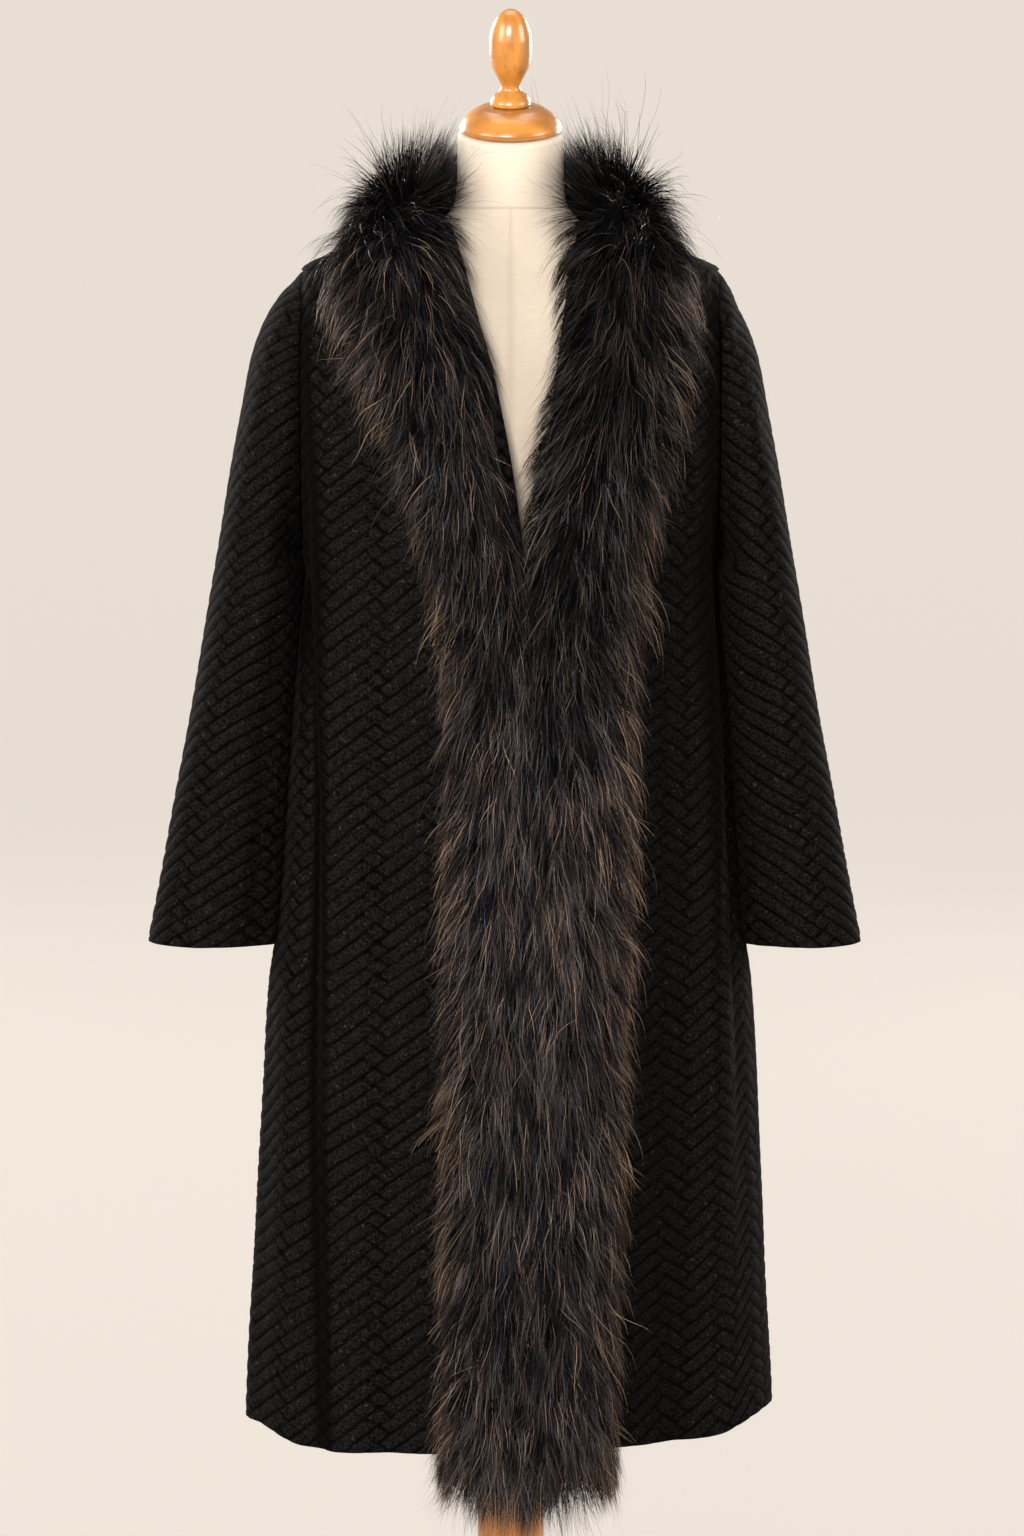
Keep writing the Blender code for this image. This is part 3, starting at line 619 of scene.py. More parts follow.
# ---- quilting
def herringbone(u, v, width, long_run, short_run):
    """Distance to the nearest stitch line and which way each channel slants, at flat places.

    Channels at 45 degrees are laid like parquet: bricks of long_run cells one way and of
    short_run cells the other way, each one cell wide.
    """
    a = (u + v) / (sqrt(2.0) * width)
    b = (v - u) / (sqrt(2.0) * width)
    i = np.floor(a + 1e-6)
    j = np.floor(b + 1e-6)
    period = long_run + short_run
    place = np.mod(i - j, period)
    lies = place < long_run
    fa = a - i
    fb = b - j
    near_a = np.minimum(fa, 1.0 - fa)
    near_b = np.minimum(fb, 1.0 - fb)
    # ends of the bricks that run along a, and of those that run along b
    no_end = 9.0
    start_a = np.where(place == 0, fa, no_end)
    stop_a = np.where(place == long_run - 1, 1.0 - fa, no_end)
    start_b = np.where(place == period - 1, fb, no_end)
    stop_b = np.where(place == long_run, 1.0 - fb, no_end)
    along_a = np.minimum(near_b, np.minimum(start_a, stop_a))
    along_b = np.minimum(near_a, np.minimum(start_b, stop_b))
    return np.where(lies, along_a, along_b) * width, lies


def corners(index):
    """The four corners of every cell of a grid of point numbers, in order round the cell."""
    return index[:-1, :-1], index[:-1, 1:], index[1:, 1:], index[1:, :-1]


def triangles(*ways):
    """Triangles from arrays of their corners."""
    return np.concatenate([np.stack(way, axis=-1).reshape(-1, 3) for way in ways])


def grid_faces(index):
    a, b, c, d = corners(index)
    return triangles((a, b, c), (a, c, d))


def ring_faces(index):
    """The faces of a grid whose last column joins its first."""
    return grid_faces(np.concatenate([index, index[:, :1]], axis=1))


def zipper(first, second, points):
    """Triangles between two lines of points that run side by side."""
    at_first, at_second = (lengths / max(lengths[-1], 1e-9) for lengths in
                           (line_lengths(points[first]), line_lengths(points[second])))
    i = j = 0
    faces = []
    while i < len(first) - 1 or j < len(second) - 1:
        step_first = j == len(second) - 1
        if not step_first and i < len(first) - 1:
            step_first = at_first[i + 1] <= at_second[j + 1]
        if step_first:
            faces.append((first[i], first[i + 1], second[j]))
            i += 1
        else:
            faces.append((first[i], second[j + 1], second[j]))
            j += 1
    return np.array(faces)


def mesh_object(name, points, faces, shade=None):
    """An object from arrays of points and triangles, with an optional shade per point.

    Triangles that have shrunk to a line and points without a triangle are left out.
    """
    a, b, c = faces.T
    faces = faces[(a != b) & (b != c) & (a != c)]
    used = np.unique(faces)
    renumber = np.zeros(len(points), dtype=np.int32)
    renumber[used] = np.arange(len(used))
    mesh = bpy.data.meshes.new(name)
    mesh.vertices.add(len(used))
    mesh.vertices.foreach_set("co", points[used].astype(np.float32).ravel())
    mesh.loops.add(faces.size)
    mesh.loops.foreach_set("vertex_index", renumber[faces].ravel())
    mesh.polygons.add(len(faces))
    mesh.polygons.foreach_set("loop_start", np.arange(0, faces.size, 3, dtype=np.int32))
    mesh.polygons.foreach_set("loop_total", np.full(len(faces), 3, dtype=np.int32))
    mesh.update(calc_edges=True)
    mesh.validate()
    mesh.shade_smooth()
    if shade is not None:
        colours = np.ones((len(used), 4), dtype=np.float32)
        colours[:, :3] = shade.reshape(len(shade), -1)[used]
        layer = mesh.color_attributes.new("Shade", "FLOAT_COLOR", "POINT")
        layer.data.foreach_set("color", colours.ravel())
    made = bpy.data.objects.new(name, mesh)
    bpy.context.collection.objects.link(made)
    return made


def channel_step(wool):
    """Height of one row of a quilted panel's mesh."""
    return wool.channel * sqrt(2.0) / wool.samples


def painted_shade_share(grid, normal, across, fur_shadow_painted):
    """Painted shade for a panel's colour: 1 where it lies open to the light, less in a deep fold.
    """
    places = np.arange(grid.shape[1])
    reach = int(0.020 / across)
    before = grid[:, np.maximum(places - reach, 0)]
    after = grid[:, np.minimum(places + reach, len(places) - 1)]
    # painted shade: the colour darkens in the troughs of folds
    hollow = np.sum((0.5 * (before + after) - grid) * normal, axis=2)
    clear = 1.0 - 0.92 * smooth_step(0.0012, 0.0055, hollow)
    # painted shade on the steep side of a fold in front, which turns away from the light
    from_middle = np.abs(grid[:, :, 0])
    wall = smooth_step(0.50, 0.78, np.abs(normal[:, :, 0])) * (from_middle < 0.212)
    clear = clear * (1.0 - 0.80 * wall * smooth_step(-0.02, -0.06, grid[:, :, 1]))
    # painted shadow of the fur: darker near the middle of the coat
    if fur_shadow_painted:
        clear = clear * (0.50 + 0.50 * smooth_step(0.150, 0.225, from_middle))
    return clear


def laid_out(rows, at):
    """A panel's places and outward ways, at the given lengths along each of its rows."""
    grid, tangent = [], []
    for (points, far), places in zip(rows, at):
        slope = np.gradient(points, far + np.arange(len(far)) * 1e-9, axis=0)
        grid.append(sampled(places, far, points))
        tangent.append(sampled(places, far, slope))
    grid = np.array(grid)
    return grid, unit(np.cross(np.array(tangent), np.gradient(grid, axis=0)))


def quilting(at, height, from_edge, wool, runs, seed):
    """Rounded channels between sunk stitch lines, flatter towards the panel's edges.

    Gives how far each place stands out, its distance from the stitching, from 0 to 1 at a
    channel's middle, and which way its channel slants.
    """
    wave_u = at + WAVER * ripple(at, height, seed + 5)
    wave_v = height + WAVER * ripple(height, at, seed + 6)
    distance, lies = herringbone(SLANT * wave_u, wave_v, wool.channel, *runs)
    distance = distance / (0.5 * wool.channel)
    crown = 1.0 - (1.0 - np.clip(distance, 0.0, 1.0)) ** 3.0
    from_end = np.minimum(height, height[-1:] - height)
    sewn = smooth_step(-0.001, 0.006, from_edge) * smooth_step(-0.004, 0.005, from_end)
    relief = wool.puff * (crown * (EDGE_PUFF + (1.0 - EDGE_PUFF) * sewn) - STITCH_DEPTH)
    uneven = UNEVENNESS * ripple(0.8 * at, 0.5 * height, seed)
    return relief + uneven * smooth_step(0.0, 0.03, from_edge), distance, lies


def inner_side(rows, chosen, columns, normal):
    """Points of a panel's plain inner side, a cloth's thickness behind the chosen rows."""
    inner = []
    for k in chosen:
        points, far = rows[k]
        places = np.linspace(far[0], far[-1], INNER_COLUMNS)
        inner.append(sampled(places, far, points) - CLOTH * sampled(places, columns, normal[k]))
    return np.concatenate(inner)


def quilted_panel(name, rows, wool, runs, seed, fur_shadow_painted=False):
    """A panel of quilted wool: relief on the outer side, a plain inner side, closed all round.

    rows holds, from the bottom up, each row's points and their lengths from the pattern's
    middle line.  runs are the two brick lengths of the herringbone.  With fur_shadow_painted,
    a painted shadow of the fur darkens the panel near the middle of the coat, where the fur hangs
    over it.
    """
    step = channel_step(wool)
    across = step / SLANT
    count = len(rows)
    start, end = (np.array([far[k] for _, far in rows])[:, None] for k in (0, -1))
    low, high = int(np.floor(start.min() / across)), int(np.ceil(end.max() / across))
    columns = np.arange(low, high + 1) * across
    wide = len(columns)
    at = np.clip(columns, start, end)
    grid, normal = laid_out(rows, at)
    height = np.arange(count)[:, None] * step + np.zeros_like(at)
    from_edge = np.minimum(at - start, end - at)
    relief, distance, lies = quilting(at, height, from_edge, wool, runs, seed)
    skin = grid + normal * relief[:, :, None]

    # the columns that a row's end has clipped share one point, and each cell is cut along its
    # channel
    first = np.maximum((columns <= start + 1e-7).sum(axis=1) - 1, 0)
    last = np.minimum(wide - (columns >= end - 1e-7).sum(axis=1), wide - 1)
    line = np.arange(count)
    index = line[:, None] * wide + np.clip(np.arange(wide), first[:, None], last[:, None])
    a, b, c, d = corners(index)
    cut = lies[:-1, :-1]
    outside = triangles((a, b, np.where(cut, c, d)), (np.where(cut, a, b), c, d))

    # plain inner side on a wide grid, and the rim that joins it to the skin
    chosen = np.unique(np.append(np.arange(0, count, INNER_ROWS), count - 1))
    points = np.concatenate([skin.reshape(-1, 3), inner_side(rows, chosen, columns, normal)])
    within = count * wide + np.arange(len(chosen) * INNER_COLUMNS).reshape(-1, INNER_COLUMNS)
    rims = [zipper(index[0, first[0]:last[0] + 1], within[0], points)[:, ::-1],
            zipper(index[-1, first[-1]:last[-1] + 1], within[-1], points),
            zipper(index[line, first], within[:, 0], points),
            zipper(index[line, last], within[:, -1], points)[:, ::-1]]
    faces = np.concatenate([outside, grid_faces(within)[:, ::-1], *rims])

    # red holds the distance from the stitching, green the painted shade of folds and of the fur's
    # shadow
    shade = np.tile((0.6, 1.0, 0.0), (len(points), 1))
    shade[:count * wide, 0] = distance.ravel()
    shade[:count * wide, 1] = painted_shade_share(grid, normal, across, fur_shadow_painted).ravel()
    return mesh_object(name, points, faces, shade)


# ---- fur
def lifted_clear(point, out, margin):
    """The point, moved out in steps of 1 mm until it is clear of the body and shoulders."""
    for _ in range(120):
        x, y, z = point
        if z > NECKLINE_Z + margin:
            return point
        width, depth, power = section_sizes(min(float(z), NECKLINE_Z), y > 0.0)
        share = (abs(x) / (width + margin)) ** power + (abs(y) / (depth + margin)) ** power
        if share >= 1.0:
            return point
        point = point + out * 0.001
    return point


def pelt_grid(left):
    """Rows of the fur's skin and of the pile's top, from below the hem to the centre back."""
    sign = 1.0 if left else -1.0
    inset_below, inset_more = (0.003, 0.010) if left else (0.019, -0.012)
    share = np.linspace(-1.0, 1.0, PELT_COLUMNS)
    slim = 1.0 - PILE_SLIMMING * 0.5 * (share + 1.0)
    apart = (1.0 - np.abs(share) ** 2.6) ** (1.0 / 2.2) * slim
    closed = (1.0 - (0.5 * (share + 1.0)) ** 2.8) ** (1.0 / 2.2) * 0.92
    skin, top = [], []
    for z in np.concatenate([np.linspace(0.238, 0.262, 4), np.linspace(0.285, 1.36, 46)]):
        swell = closed + (apart - closed) * float(smooth_step(1.00, 1.13, z))
        open_front = float(smooth_step(1.08, 1.20, z))
        inset = float(inset_below + inset_more * smooth_step(1.26, 1.34, z)) * open_front
        *right_edges, left_inner, left_outer, thick = row_at(FUR_FRONT_TABLE, z)
        inner_x, outer_x = (left_inner, left_outer) if left else right_edges
        inner_x += sign * inset
        outer_x -= sign * (ROOT_INSET + (0.010 * open_front if left else 0.0))
        under = []
        for x in np.linspace(inner_x, outer_x, PELT_COLUMNS):
            points, _ = body_curve(max(float(z), HEM_Z), x > 0.0, False)
            y = np.interp(abs(x), np.abs(points[:500, 0]), points[:500, 1])
            under.append((x, y - FUR_CLEAR, z))
        out = np.array([0.0, -1.0, 0.0])
        skin.append(under)
        top.append(under + out * (0.004 + (thick - 0.004) * swell)[:, None])
    for k, row in enumerate(along(COLLAR_TABLE, COLLAR_ROWS)):
        inner_x, inner_y, inner_z, outer_x, outer_y, outer_z, thick = row
        inner = np.array([sign * inner_x, inner_y, inner_z])
        outer = np.array([sign * outer_x, outer_y, outer_z])
        end = 0.76 + 0.13 * float(smooth_step(10.0, 3.0, k))
        under = inner + (outer - inner) * np.linspace(0.09, end, PELT_COLUMNS)[:, None]
        middle = 0.5 * (inner + outer)
        turn = unit(np.array([-middle[1], middle[0], 0.0]))
        out = unit(np.cross(outer - inner, turn))
        if out[2] < 0.0:
            out = -out
        under = np.array([lifted_clear(point, out, COLLAR_CLEAR) for point in under])
        skin.append(under)
        top.append(under + out * (0.006 + (thick - 0.006) * apart)[:, None])
    return np.array(skin), np.array(top)


def grid_sample(grid, p, q):
    """Values of a grid at fractional rows and columns."""
    i = np.clip(p.astype(int), 0, grid.shape[0] - 2)
    j = np.clip(q.astype(int), 0, grid.shape[1] - 2)
    s = (p - i)[:, None]
    t = (q - j)[:, None]
    low = grid[i, j] * (1 - t) + grid[i, j + 1] * t
    high = grid[i + 1, j] * (1 - t) + grid[i + 1, j + 1] * t
    return low * (1 - s) + high * s


def comb(skin, top):
    """The pelt as smooth fields: the roots' places, outward, downward and sideways ways, area."""
    root = skin + 0.42 * (top - skin)
    crest = skin + 0.80 * (top - skin)
    down = unit(-np.gradient(crest, axis=0))
    side = unit(np.gradient(crest, axis=1))
    out = unit(np.cross(down, side))
    lean = np.sum(out * (top - skin), axis=2, keepdims=True)
    out = out * np.where(lean < 0.0, -1.0, 1.0)
    width = np.linalg.norm(np.gradient(crest, axis=1), axis=2)
    length = np.linalg.norm(np.gradient(crest, axis=0), axis=2)
    return root, out, down, side, width * length


def hair_paths(pelt, left, t, p, q, *each_hair):
    """Lines of the hairs rooted at rows p and columns q, and the pelt's outward way there.

    each_hair holds the turn, lift, size and curl of every hair.
    """
    root, out, down, side, _ = pelt
    rows, wide = root.shape[:2]
    base = grid_sample(root, p, q)
    n, d, s = (unit(grid_sample(field, p, q)) for field in (out, down, side))
    part, across, turn, lift, size, curl = (
        values[:, None] for values in (p / (rows - 1.0), q / (wide - 1.0), *each_hair))
    collar = smooth_step(0.60, 0.70, part)
    lean = hair_lean(part, across, left) + turn
    flow = d * np.cos(lean) + s * np.sin(lean)
    # beside the neck the hair points up; the crest stands out; lower down it hangs
    upward = 0.72 * smooth_step(0.64, 0.76, part) * smooth_step(0.62, 0.10, across)
    flow = unit(flow * (1.0 - upward) + upward * np.array([0.0, 0.0, 1.0]))
    crest = np.exp(-((across - 0.42) / 0.34) ** 2)
    rise = 0.30 + collar * (0.16 + 0.34 * crest)
    rise = rise * lift * (1.0 - 0.35 * np.abs(2.0 * across - 1.0) ** 3)
    # at the strip's lower end the hairs are longer and lie flatter
    end = smooth_step(0.300, 0.235, base[:, 2:])
    size = size * (1.0 + end * (0.80 - 0.80 * np.abs(across - 0.10))) * (1.0 - 0.04 * collar)
    rise = rise * (1.0 - 0.55 * end)
    drop = (0.30 - 0.16 * collar - 0.14 * upward) * size
    u = t[:, None]
    line = base[:, None] + (size * n * rise)[:, None] * (1 - (1 - u) ** 2.0)
    line = line + (size * flow)[:, None] * (0.22 * u + 0.72 * u ** 1.5)
    line[:, :, 2] -= drop * t ** 2.2 * 0.8
    # each hair curls a little along the pelt and away from it
    bend = unit(np.cross(flow, n))
    turns = 2.6 + 2.6 * np.abs(curl)
    phase = 9.0 * curl
    amount = (0.034 + 0.050 * np.abs(curl)) * size
    wave = amount * (np.sin(turns * t * 1.6 + phase) - np.sin(phase)) * t
    line = line + wave[:, :, None] * bend[:, None]
    wave = 0.5 * amount * np.sin(turns * t * 1.3 + 2.0 * phase + 1.0) * t
    return line + wave[:, :, None] * n[:, None], n


def held_back(line):
    """Bends the hairs back past a soft limit in front and behind, as on a combed coat."""
    for way, limit in ((-1.0, FUR_LIMIT_FRONT), (1.0, FUR_LIMIT_BACK)):
        beyond = np.maximum(way * (line[:, :, 1] - limit), 0.0)
        kept = FUR_LIMIT_SOFT * (1.0 - np.exp(-beyond / FUR_LIMIT_SOFT))
        line[:, :, 1] -= way * (beyond - kept)


def ribbons(line, n, t, roll, half):
    """Each hair as a ribbon that narrows to a point, rolled a little out of the pelt's plane."""
    count, stations = line.shape[:2]
    forward = unit(np.gradient(line, axis=1))
    wing = unit(np.cross(forward, n[:, None, :]))
    wing = unit(wing * np.cos(roll) + n[:, None, :] * np.sin(roll))
    taper = np.clip(1.0 - t ** 1.8, 0.0, 1.0) * np.clip(0.60 + 2.0 * t, 0.0, 1.0)
    half = half * taper[None, :, None]
    per = 2 * stations - 1     # points of one hair: two at each station and one at its tip
    points = np.stack([line - wing * half, line + wing * half], axis=2)
    points = points.reshape(count, -1, 3)[:, :per]
    strip = []
    for k in range(0, per - 3, 2):
        strip += [(k, k + 1, k + 3), (k, k + 3, k + 2)]
    strip.append((per - 3, per - 2, per - 1))
    return points, (np.arange(count) * per)[:, None, None] + np.array(strip)


def hairs(pelt, left, count, seed, length, kind, fur, start_row, stop_row):
    """Tapered ribbons of fur: points, faces and a colour for each point.

    kind is "under" for the dense short fur, "guard" for long hairs and "stray" for the few
    that stand away from the rest.  They are rooted between the two rows of the pelt.
    """
    segments, to_lock, turning, lifting, hold, thick, root_light, growth = HAIR_KINDS[kind]
    root, area = pelt[0], pelt[-1]
    rows, wide = root.shape[:2]
    draw = np.random.default_rng(seed)
    weight = 0.25 * (area[:-1, :-1] + area[1:, :-1] + area[:-1, 1:] + area[1:, 1:])
    weight[:start_row] = 0.0
    weight[stop_row:] = 0.0
    if start_row == 0:
        weight[:4] *= 2.6      # the strip's lower end is denser
    weight = weight / weight.sum()

    def scatter(number):
        cell = draw.choice(weight.size, number, p=weight.ravel())
        return cell // (wide - 1) + draw.random(number), cell % (wide - 1) + draw.random(number)

    p, q = scatter(count)
    # locks of hair share a lean and draw together towards their tips
    locks = max(int(count / to_lock), 8)
    lock_p, lock_q = scatter(locks)
    nearest = nearest_of(grid_sample(root, p, q), grid_sample(root, lock_p, lock_q))
    lock_turn = draw.normal(0.0, 0.24, locks)
    lock_lift = np.exp(draw.normal(0.0, 0.28, locks))
    lock_tone = draw.normal(0.0, 1.0, locks)
    t = np.linspace(0.0, 1.0, segments + 1)
    size = length * draw.uniform(0.60, 1.12, count)
    lift = lock_lift[nearest] * np.exp(draw.normal(0.0, lifting, count))
    turn = lock_turn[nearest] + draw.normal(0.0, turning, count)
    curl = draw.uniform(-1.0, 1.0, count)
    line, n = hair_paths(pelt, left, t, p, q, turn, lift, size, curl)
    lock_line, _ = hair_paths(pelt, left, t, lock_p, lock_q, lock_turn, lock_lift,
                              np.full(locks, length * 0.9), draw.uniform(-1.0, 1.0, locks))
    hold = hold * draw.uniform(0.3, 1.1, count)[:, None, None]
    line = line + (lock_line[nearest] - line) * t[None, :, None] ** 1.5 * hold
    held_back(line)
    roll = draw.normal(0.0, 0.65, count)[:, None, None]
    half = (thick * draw.uniform(0.6, 1.35, count))[:, None, None]
    points, faces = ribbons(line, n, t, roll, half)
    tone = hair_colour(p / (rows - 1.0), q / (wide - 1.0), line[:, 0], lock_tone[nearest], kind,
                       fur, draw)
    # painted shade deep in the pile: each hair is darker towards its root
    light = root_light + (1.0 - root_light) * t ** growth
    colour = np.repeat(tone[:, None, :] * light[None, :, None], 2, axis=1)
    colour = colour[:, :points.shape[1]]
    return points.reshape(-1, 3), faces.reshape(-1, 3), colour.reshape(-1, 3)


def nearest_of(points, centres):
    """Index of the nearest centre to each point, looked for within 3 cm of its height."""
    batch, window, spare = 800, 0.03, 8
    best = np.zeros(len(points), dtype=int)
    order = np.argsort(points[:, 2])
    levels = np.argsort(centres[:, 2])
    heights = centres[levels, 2]
    for k in range(0, len(points), batch):
        chosen = order[k:k + batch]
        low = np.searchsorted(heights, points[chosen[0], 2] - window)
        high = np.searchsorted(heights, points[chosen[-1], 2] + window)
        close = levels[max(low - spare, 0):high + spare]
        gap = ((points[chosen][:, None, :] - centres[close][None]) ** 2).sum(axis=2)
        best[chosen] = close[np.argmin(gap, axis=1)]
    return best


def hair_lean(part, across, left):
    """The hair's lean from straight down the trim, in radians: out is positive."""
    places, *leans = np.array(LEAN_TABLE).T
    low, high = (np.interp(part, places, np.radians(lean))
                 for lean in (leans[2:] if left else leans[:2]))
    return low + (high - low) * smooth_step(-0.05, 1.0, across)


def hair_colour(part, across, at, tone, kind, fur, draw):
    """Colour of each hair: blue-grey underfur, brown guard hairs, browner at the outer edge."""
    patch = ripple(at[:, 0] * 1.2, at[:, 2] * 0.45, 41)
    edge = smooth_step(0.55, 1.0, across)
    low = smooth_step(0.74, 0.58, part)
    brown = 0.015 + 0.31 * edge + 0.06 * patch + 0.07 * tone
    brown = brown * (0.18 + 0.82 * low)
    if kind == "under":
        share = np.clip(draw.normal(0.30 * brown, 0.06), 0.0, 0.5)
    else:
        share = np.clip(draw.normal(brown, 0.26), 0.0, 1.2) ** 1.3
        if kind == "stray":
            share = np.clip(share + 0.25, 0.0, 1.2)
    light = np.exp(draw.normal(0.0, 0.86, len(across)) + 0.42 * tone)
    if kind != "under":
        light = light * np.where(draw.random(len(across)) < BRIGHT_SHARE, 4.8, 1.5)
    # painted shade: the lapels are darker, more so on the wearer's left
    painted_lapel_shade = smooth_step(0.34, 0.47, part) * (1.0 - 0.55 * edge)
    light = light * (1.0 - (0.72 if np.mean(at[:, 0]) > 0.0 else 0.42) * painted_lapel_shade)
    hem = 1.0 - 0.30 * smooth_step(0.38, 0.16, part)
    dark = np.clip(1.0 - share, 0.0, 1.0)
    colour = dark[:, None] * np.array(fur.dark) + share[:, None] * np.array(fur.tan)
    colour = colour * (light * hem * (1.30 - 0.30 * low))[:, None]
    return colour * np.minimum(1.0, STRONGEST / colour.max(axis=1, keepdims=True))


def pelt_object(name, skin, top, left):
    """The dark skin and dense fluff under the hairs, a closed rounded strip."""
    rows = np.arange(len(skin))[:, None, None]
    fluff = skin + (0.50 - 0.14 * smooth_step(46.0, 54.0, rows)) * (top - skin)
    loops = np.concatenate([skin, fluff[:, ::-1]], axis=1)
    index = np.arange(loops[..., 0].size).reshape(loops.shape[:2])
    low, high = (triangles((np.full(len(row) - 2, row[0]), row[1:-1], row[2:]))
                 for row in index[[0, -1]])
    faces = np.concatenate([ring_faces(index), low[:, ::-1], high])
    return mesh_object(name, loops.reshape(-1, 3), faces if left else faces[:, ::-1])


# ---- materials
class Wire:
    """A node socket with arithmetic, so that a pattern reads as an expression."""

    def __init__(self, board, socket):
        self.board = board
        self.socket = socket

    def maths(self, operation, *values):
        return self.board.node("ShaderNodeMath", {"operation": operation}, dict(enumerate(values)))

    def __add__(self, other):
        return self.maths("ADD", self, other)

    def __radd__(self, other):
        return self.maths("ADD", other, self)

    def __sub__(self, other):
        return self.maths("SUBTRACT", self, other)

    def __rsub__(self, other):
        return self.maths("SUBTRACT", other, self)

    def __mul__(self, other):
        return self.maths("MULTIPLY", self, other)

    def __rmul__(self, other):
        return self.maths("MULTIPLY", other, self)

    def between(self, low, high):
        """This value spread from 0 at low to 1 at high, and held there outside."""
        return self.board.node("ShaderNodeMapRange", {"interpolation_type": "SMOOTHSTEP"},
                               {"Value": self, "From Min": low, "From Max": high})

    def beside(self, output):
        """Another output of the same node."""
        return Wire(self.board, self.socket.node.outputs[output])


class Board:
    """One material's nodes."""

    def __init__(self, name, **shader_values):
        self.material = bpy.data.materials.new(name)
        self.material.use_nodes = True
        self.tree = self.material.node_tree
        self.shader = self.tree.nodes["Principled BSDF"]
        for socket, value in shader_values.items():
            self.shader.inputs[socket.replace("_", " ")].default_value = value

    def node(self, kind, settings=None, values=None, output=0):
        made = self.tree.nodes.new(kind)
        for key, value in (settings or {}).items():
            setattr(made, key, value)
        for key, value in (values or {}).items():
            self.feed(made.inputs[key], value)
        return Wire(self, made.outputs[output])

    def feed(self, socket, value):
        if isinstance(value, Wire):
            self.tree.links.new(value.socket, socket)
        else:
            socket.default_value = value

    def mix(self, share, first, second):
        """Two colours mixed by a share from 0 to 1."""
        return self.node("ShaderNodeMix", {"data_type": "RGBA"},
                         {0: share, 6: rgba(first), 7: rgba(second)}, output=2)

    def place(self, stretch=(1.0, 1.0, 1.0)):
        """Where a point is on the object, stretched along the axes."""
        where = self.node("ShaderNodeTexCoord", output=3)
        return self.node("ShaderNodeVectorMath", {"operation": "MULTIPLY"},
                         {0: where, 1: stretch})

    def noise(self, where, scale, detail=2.0, roughness=0.5, distortion=0.0):
        return self.node("ShaderNodeTexNoise", None,
                         {"Vector": where, "Scale": scale, "Detail": detail,
                          "Roughness": roughness, "Distortion": distortion})

    def shade(self, output=0):
        """The mesh's own shade: its colour, or with output 2 its grey value."""
        return self.node("ShaderNodeAttribute", {"attribute_name": "Shade"}, output=output)

    def bump(self, height, strength, distance):
        return self.node("ShaderNodeBump", None,
                         {"Height": height, "Strength": strength, "Distance": distance})

    def paint(self, **values):
        for socket, value in values.items():
            self.feed(self.shader.inputs[socket.replace("_", " ")], value)
        return self.material


def rgba(colour):
    return colour if isinstance(colour, Wire) else (*tuple(colour)[:3], 1.0)


def scaled(colour, factor):
    return [min(part * factor, 1.0) for part in colour]


def wool_material(wool):
    board = Board("quilted_wool", Roughness=0.92, Sheen_Weight=0.008, Sheen_Roughness=0.35,
                  Sheen_Tint=(0.62, 0.56, 0.53, 1.0), Specular_IOR_Level=0.02)
    where = board.place()
    curls = board.noise(where, 430.0, 3.0, 0.72)
    flecks = board.noise(where, 300.0, 1.0, 0.5, 0.6)
    cloudy = board.noise(where, 9.0, 2.0)
    from_stitch = board.node("ShaderNodeSeparateColor", None, {"Color": board.shade()})
    # green is the painted shade of the folds and of the fur's shadow
    clear = from_stitch.beside("Green")
    pale = flecks.between(0.66, 0.76) * (0.45 + 0.55 * cloudy)
    ground = board.mix(curls.between(0.36, 0.64), scaled(wool.colour, 0.25),
                       scaled(wool.colour, 2.3))
    cloth = board.mix(pale * 0.75, ground, wool.fleck)
    # painted shade: the cloth turns near black in the stitch grooves, and darker still in the
    # painted shade of folds
    colour = board.mix(from_stitch.between(0.05, 0.38) * clear, scaled(wool.colour, 0.12), cloth)
    return board.paint(Base_Color=colour, Normal=board.bump(curls + 0.4 * flecks, 0.85, 0.0012))


def fur_material(name, roughness, gloss):
    board = Board(name, Roughness=roughness, Specular_IOR_Level=gloss)
    return board.paint(Base_Color=board.shade())


def pelt_material(fur):
    board = Board("pelt", Roughness=0.95, Specular_IOR_Level=0.05)
    strands = board.noise(board.place((1.0, 1.0, 0.25)), 420.0, 3.0, 0.6)
    # the skin's own dark colour, darkened further as painted shade deep in the pile
    colour = board.mix(strands, scaled(fur.dark, 0.10), scaled(fur.dark, 0.75))
    return board.paint(Base_Color=colour, Normal=board.bump(strands, 1.0, 0.003))


def calico_material(stand):
    board = Board("calico", Roughness=0.88, Sheen_Weight=0.12)
    where = board.place()
    warp, weft = (board.node("ShaderNodeTexWave", {"bands_direction": way},
                             {"Vector": where, "Scale": 330.0, "Distortion": 1.2, "Detail": 1.0})
                  for way in "ZX")
    slubs = board.noise(board.place((1.0, 1.0, 6.0)), 70.0, 3.0)
    cloudy = board.noise(where, 5.0, 2.0)
    colour = board.mix(slubs.between(0.35, 0.7) * 0.30, stand.calico, scaled(stand.calico, 0.86))
    colour = board.mix(cloudy.between(0.4, 0.75) * 0.25, colour, scaled(stand.calico, 0.90))
    colour = board.mix((1.0 - board.shade(2)) * 0.8, colour, (0.25, 0.20, 0.145))
    return board.paint(Base_Color=colour, Normal=board.bump(warp + weft + slubs, 0.16, 0.0006))


def wood_material(stand, name, stretch):
    board = Board(name, Roughness=0.34, Coat_Weight=0.30, Coat_Roughness=0.16)
    where = board.place(stretch)
    rings = board.noise(where, 26.0, 4.0, 0.55, 0.8)
    pores = board.noise(where, 210.0, 2.0, 0.6)
    colour = board.mix(rings.between(0.36, 0.68), scaled(stand.wood, 0.70),
                       scaled(stand.wood, 1.22))
    colour = board.mix(pores.between(0.56, 0.74) * 0.45, colour, scaled(stand.wood, 0.50))
    return board.paint(Base_Color=colour, Roughness=0.26 + 0.14 * rings,
                       Normal=board.bump(pores, 0.10, 0.0004))


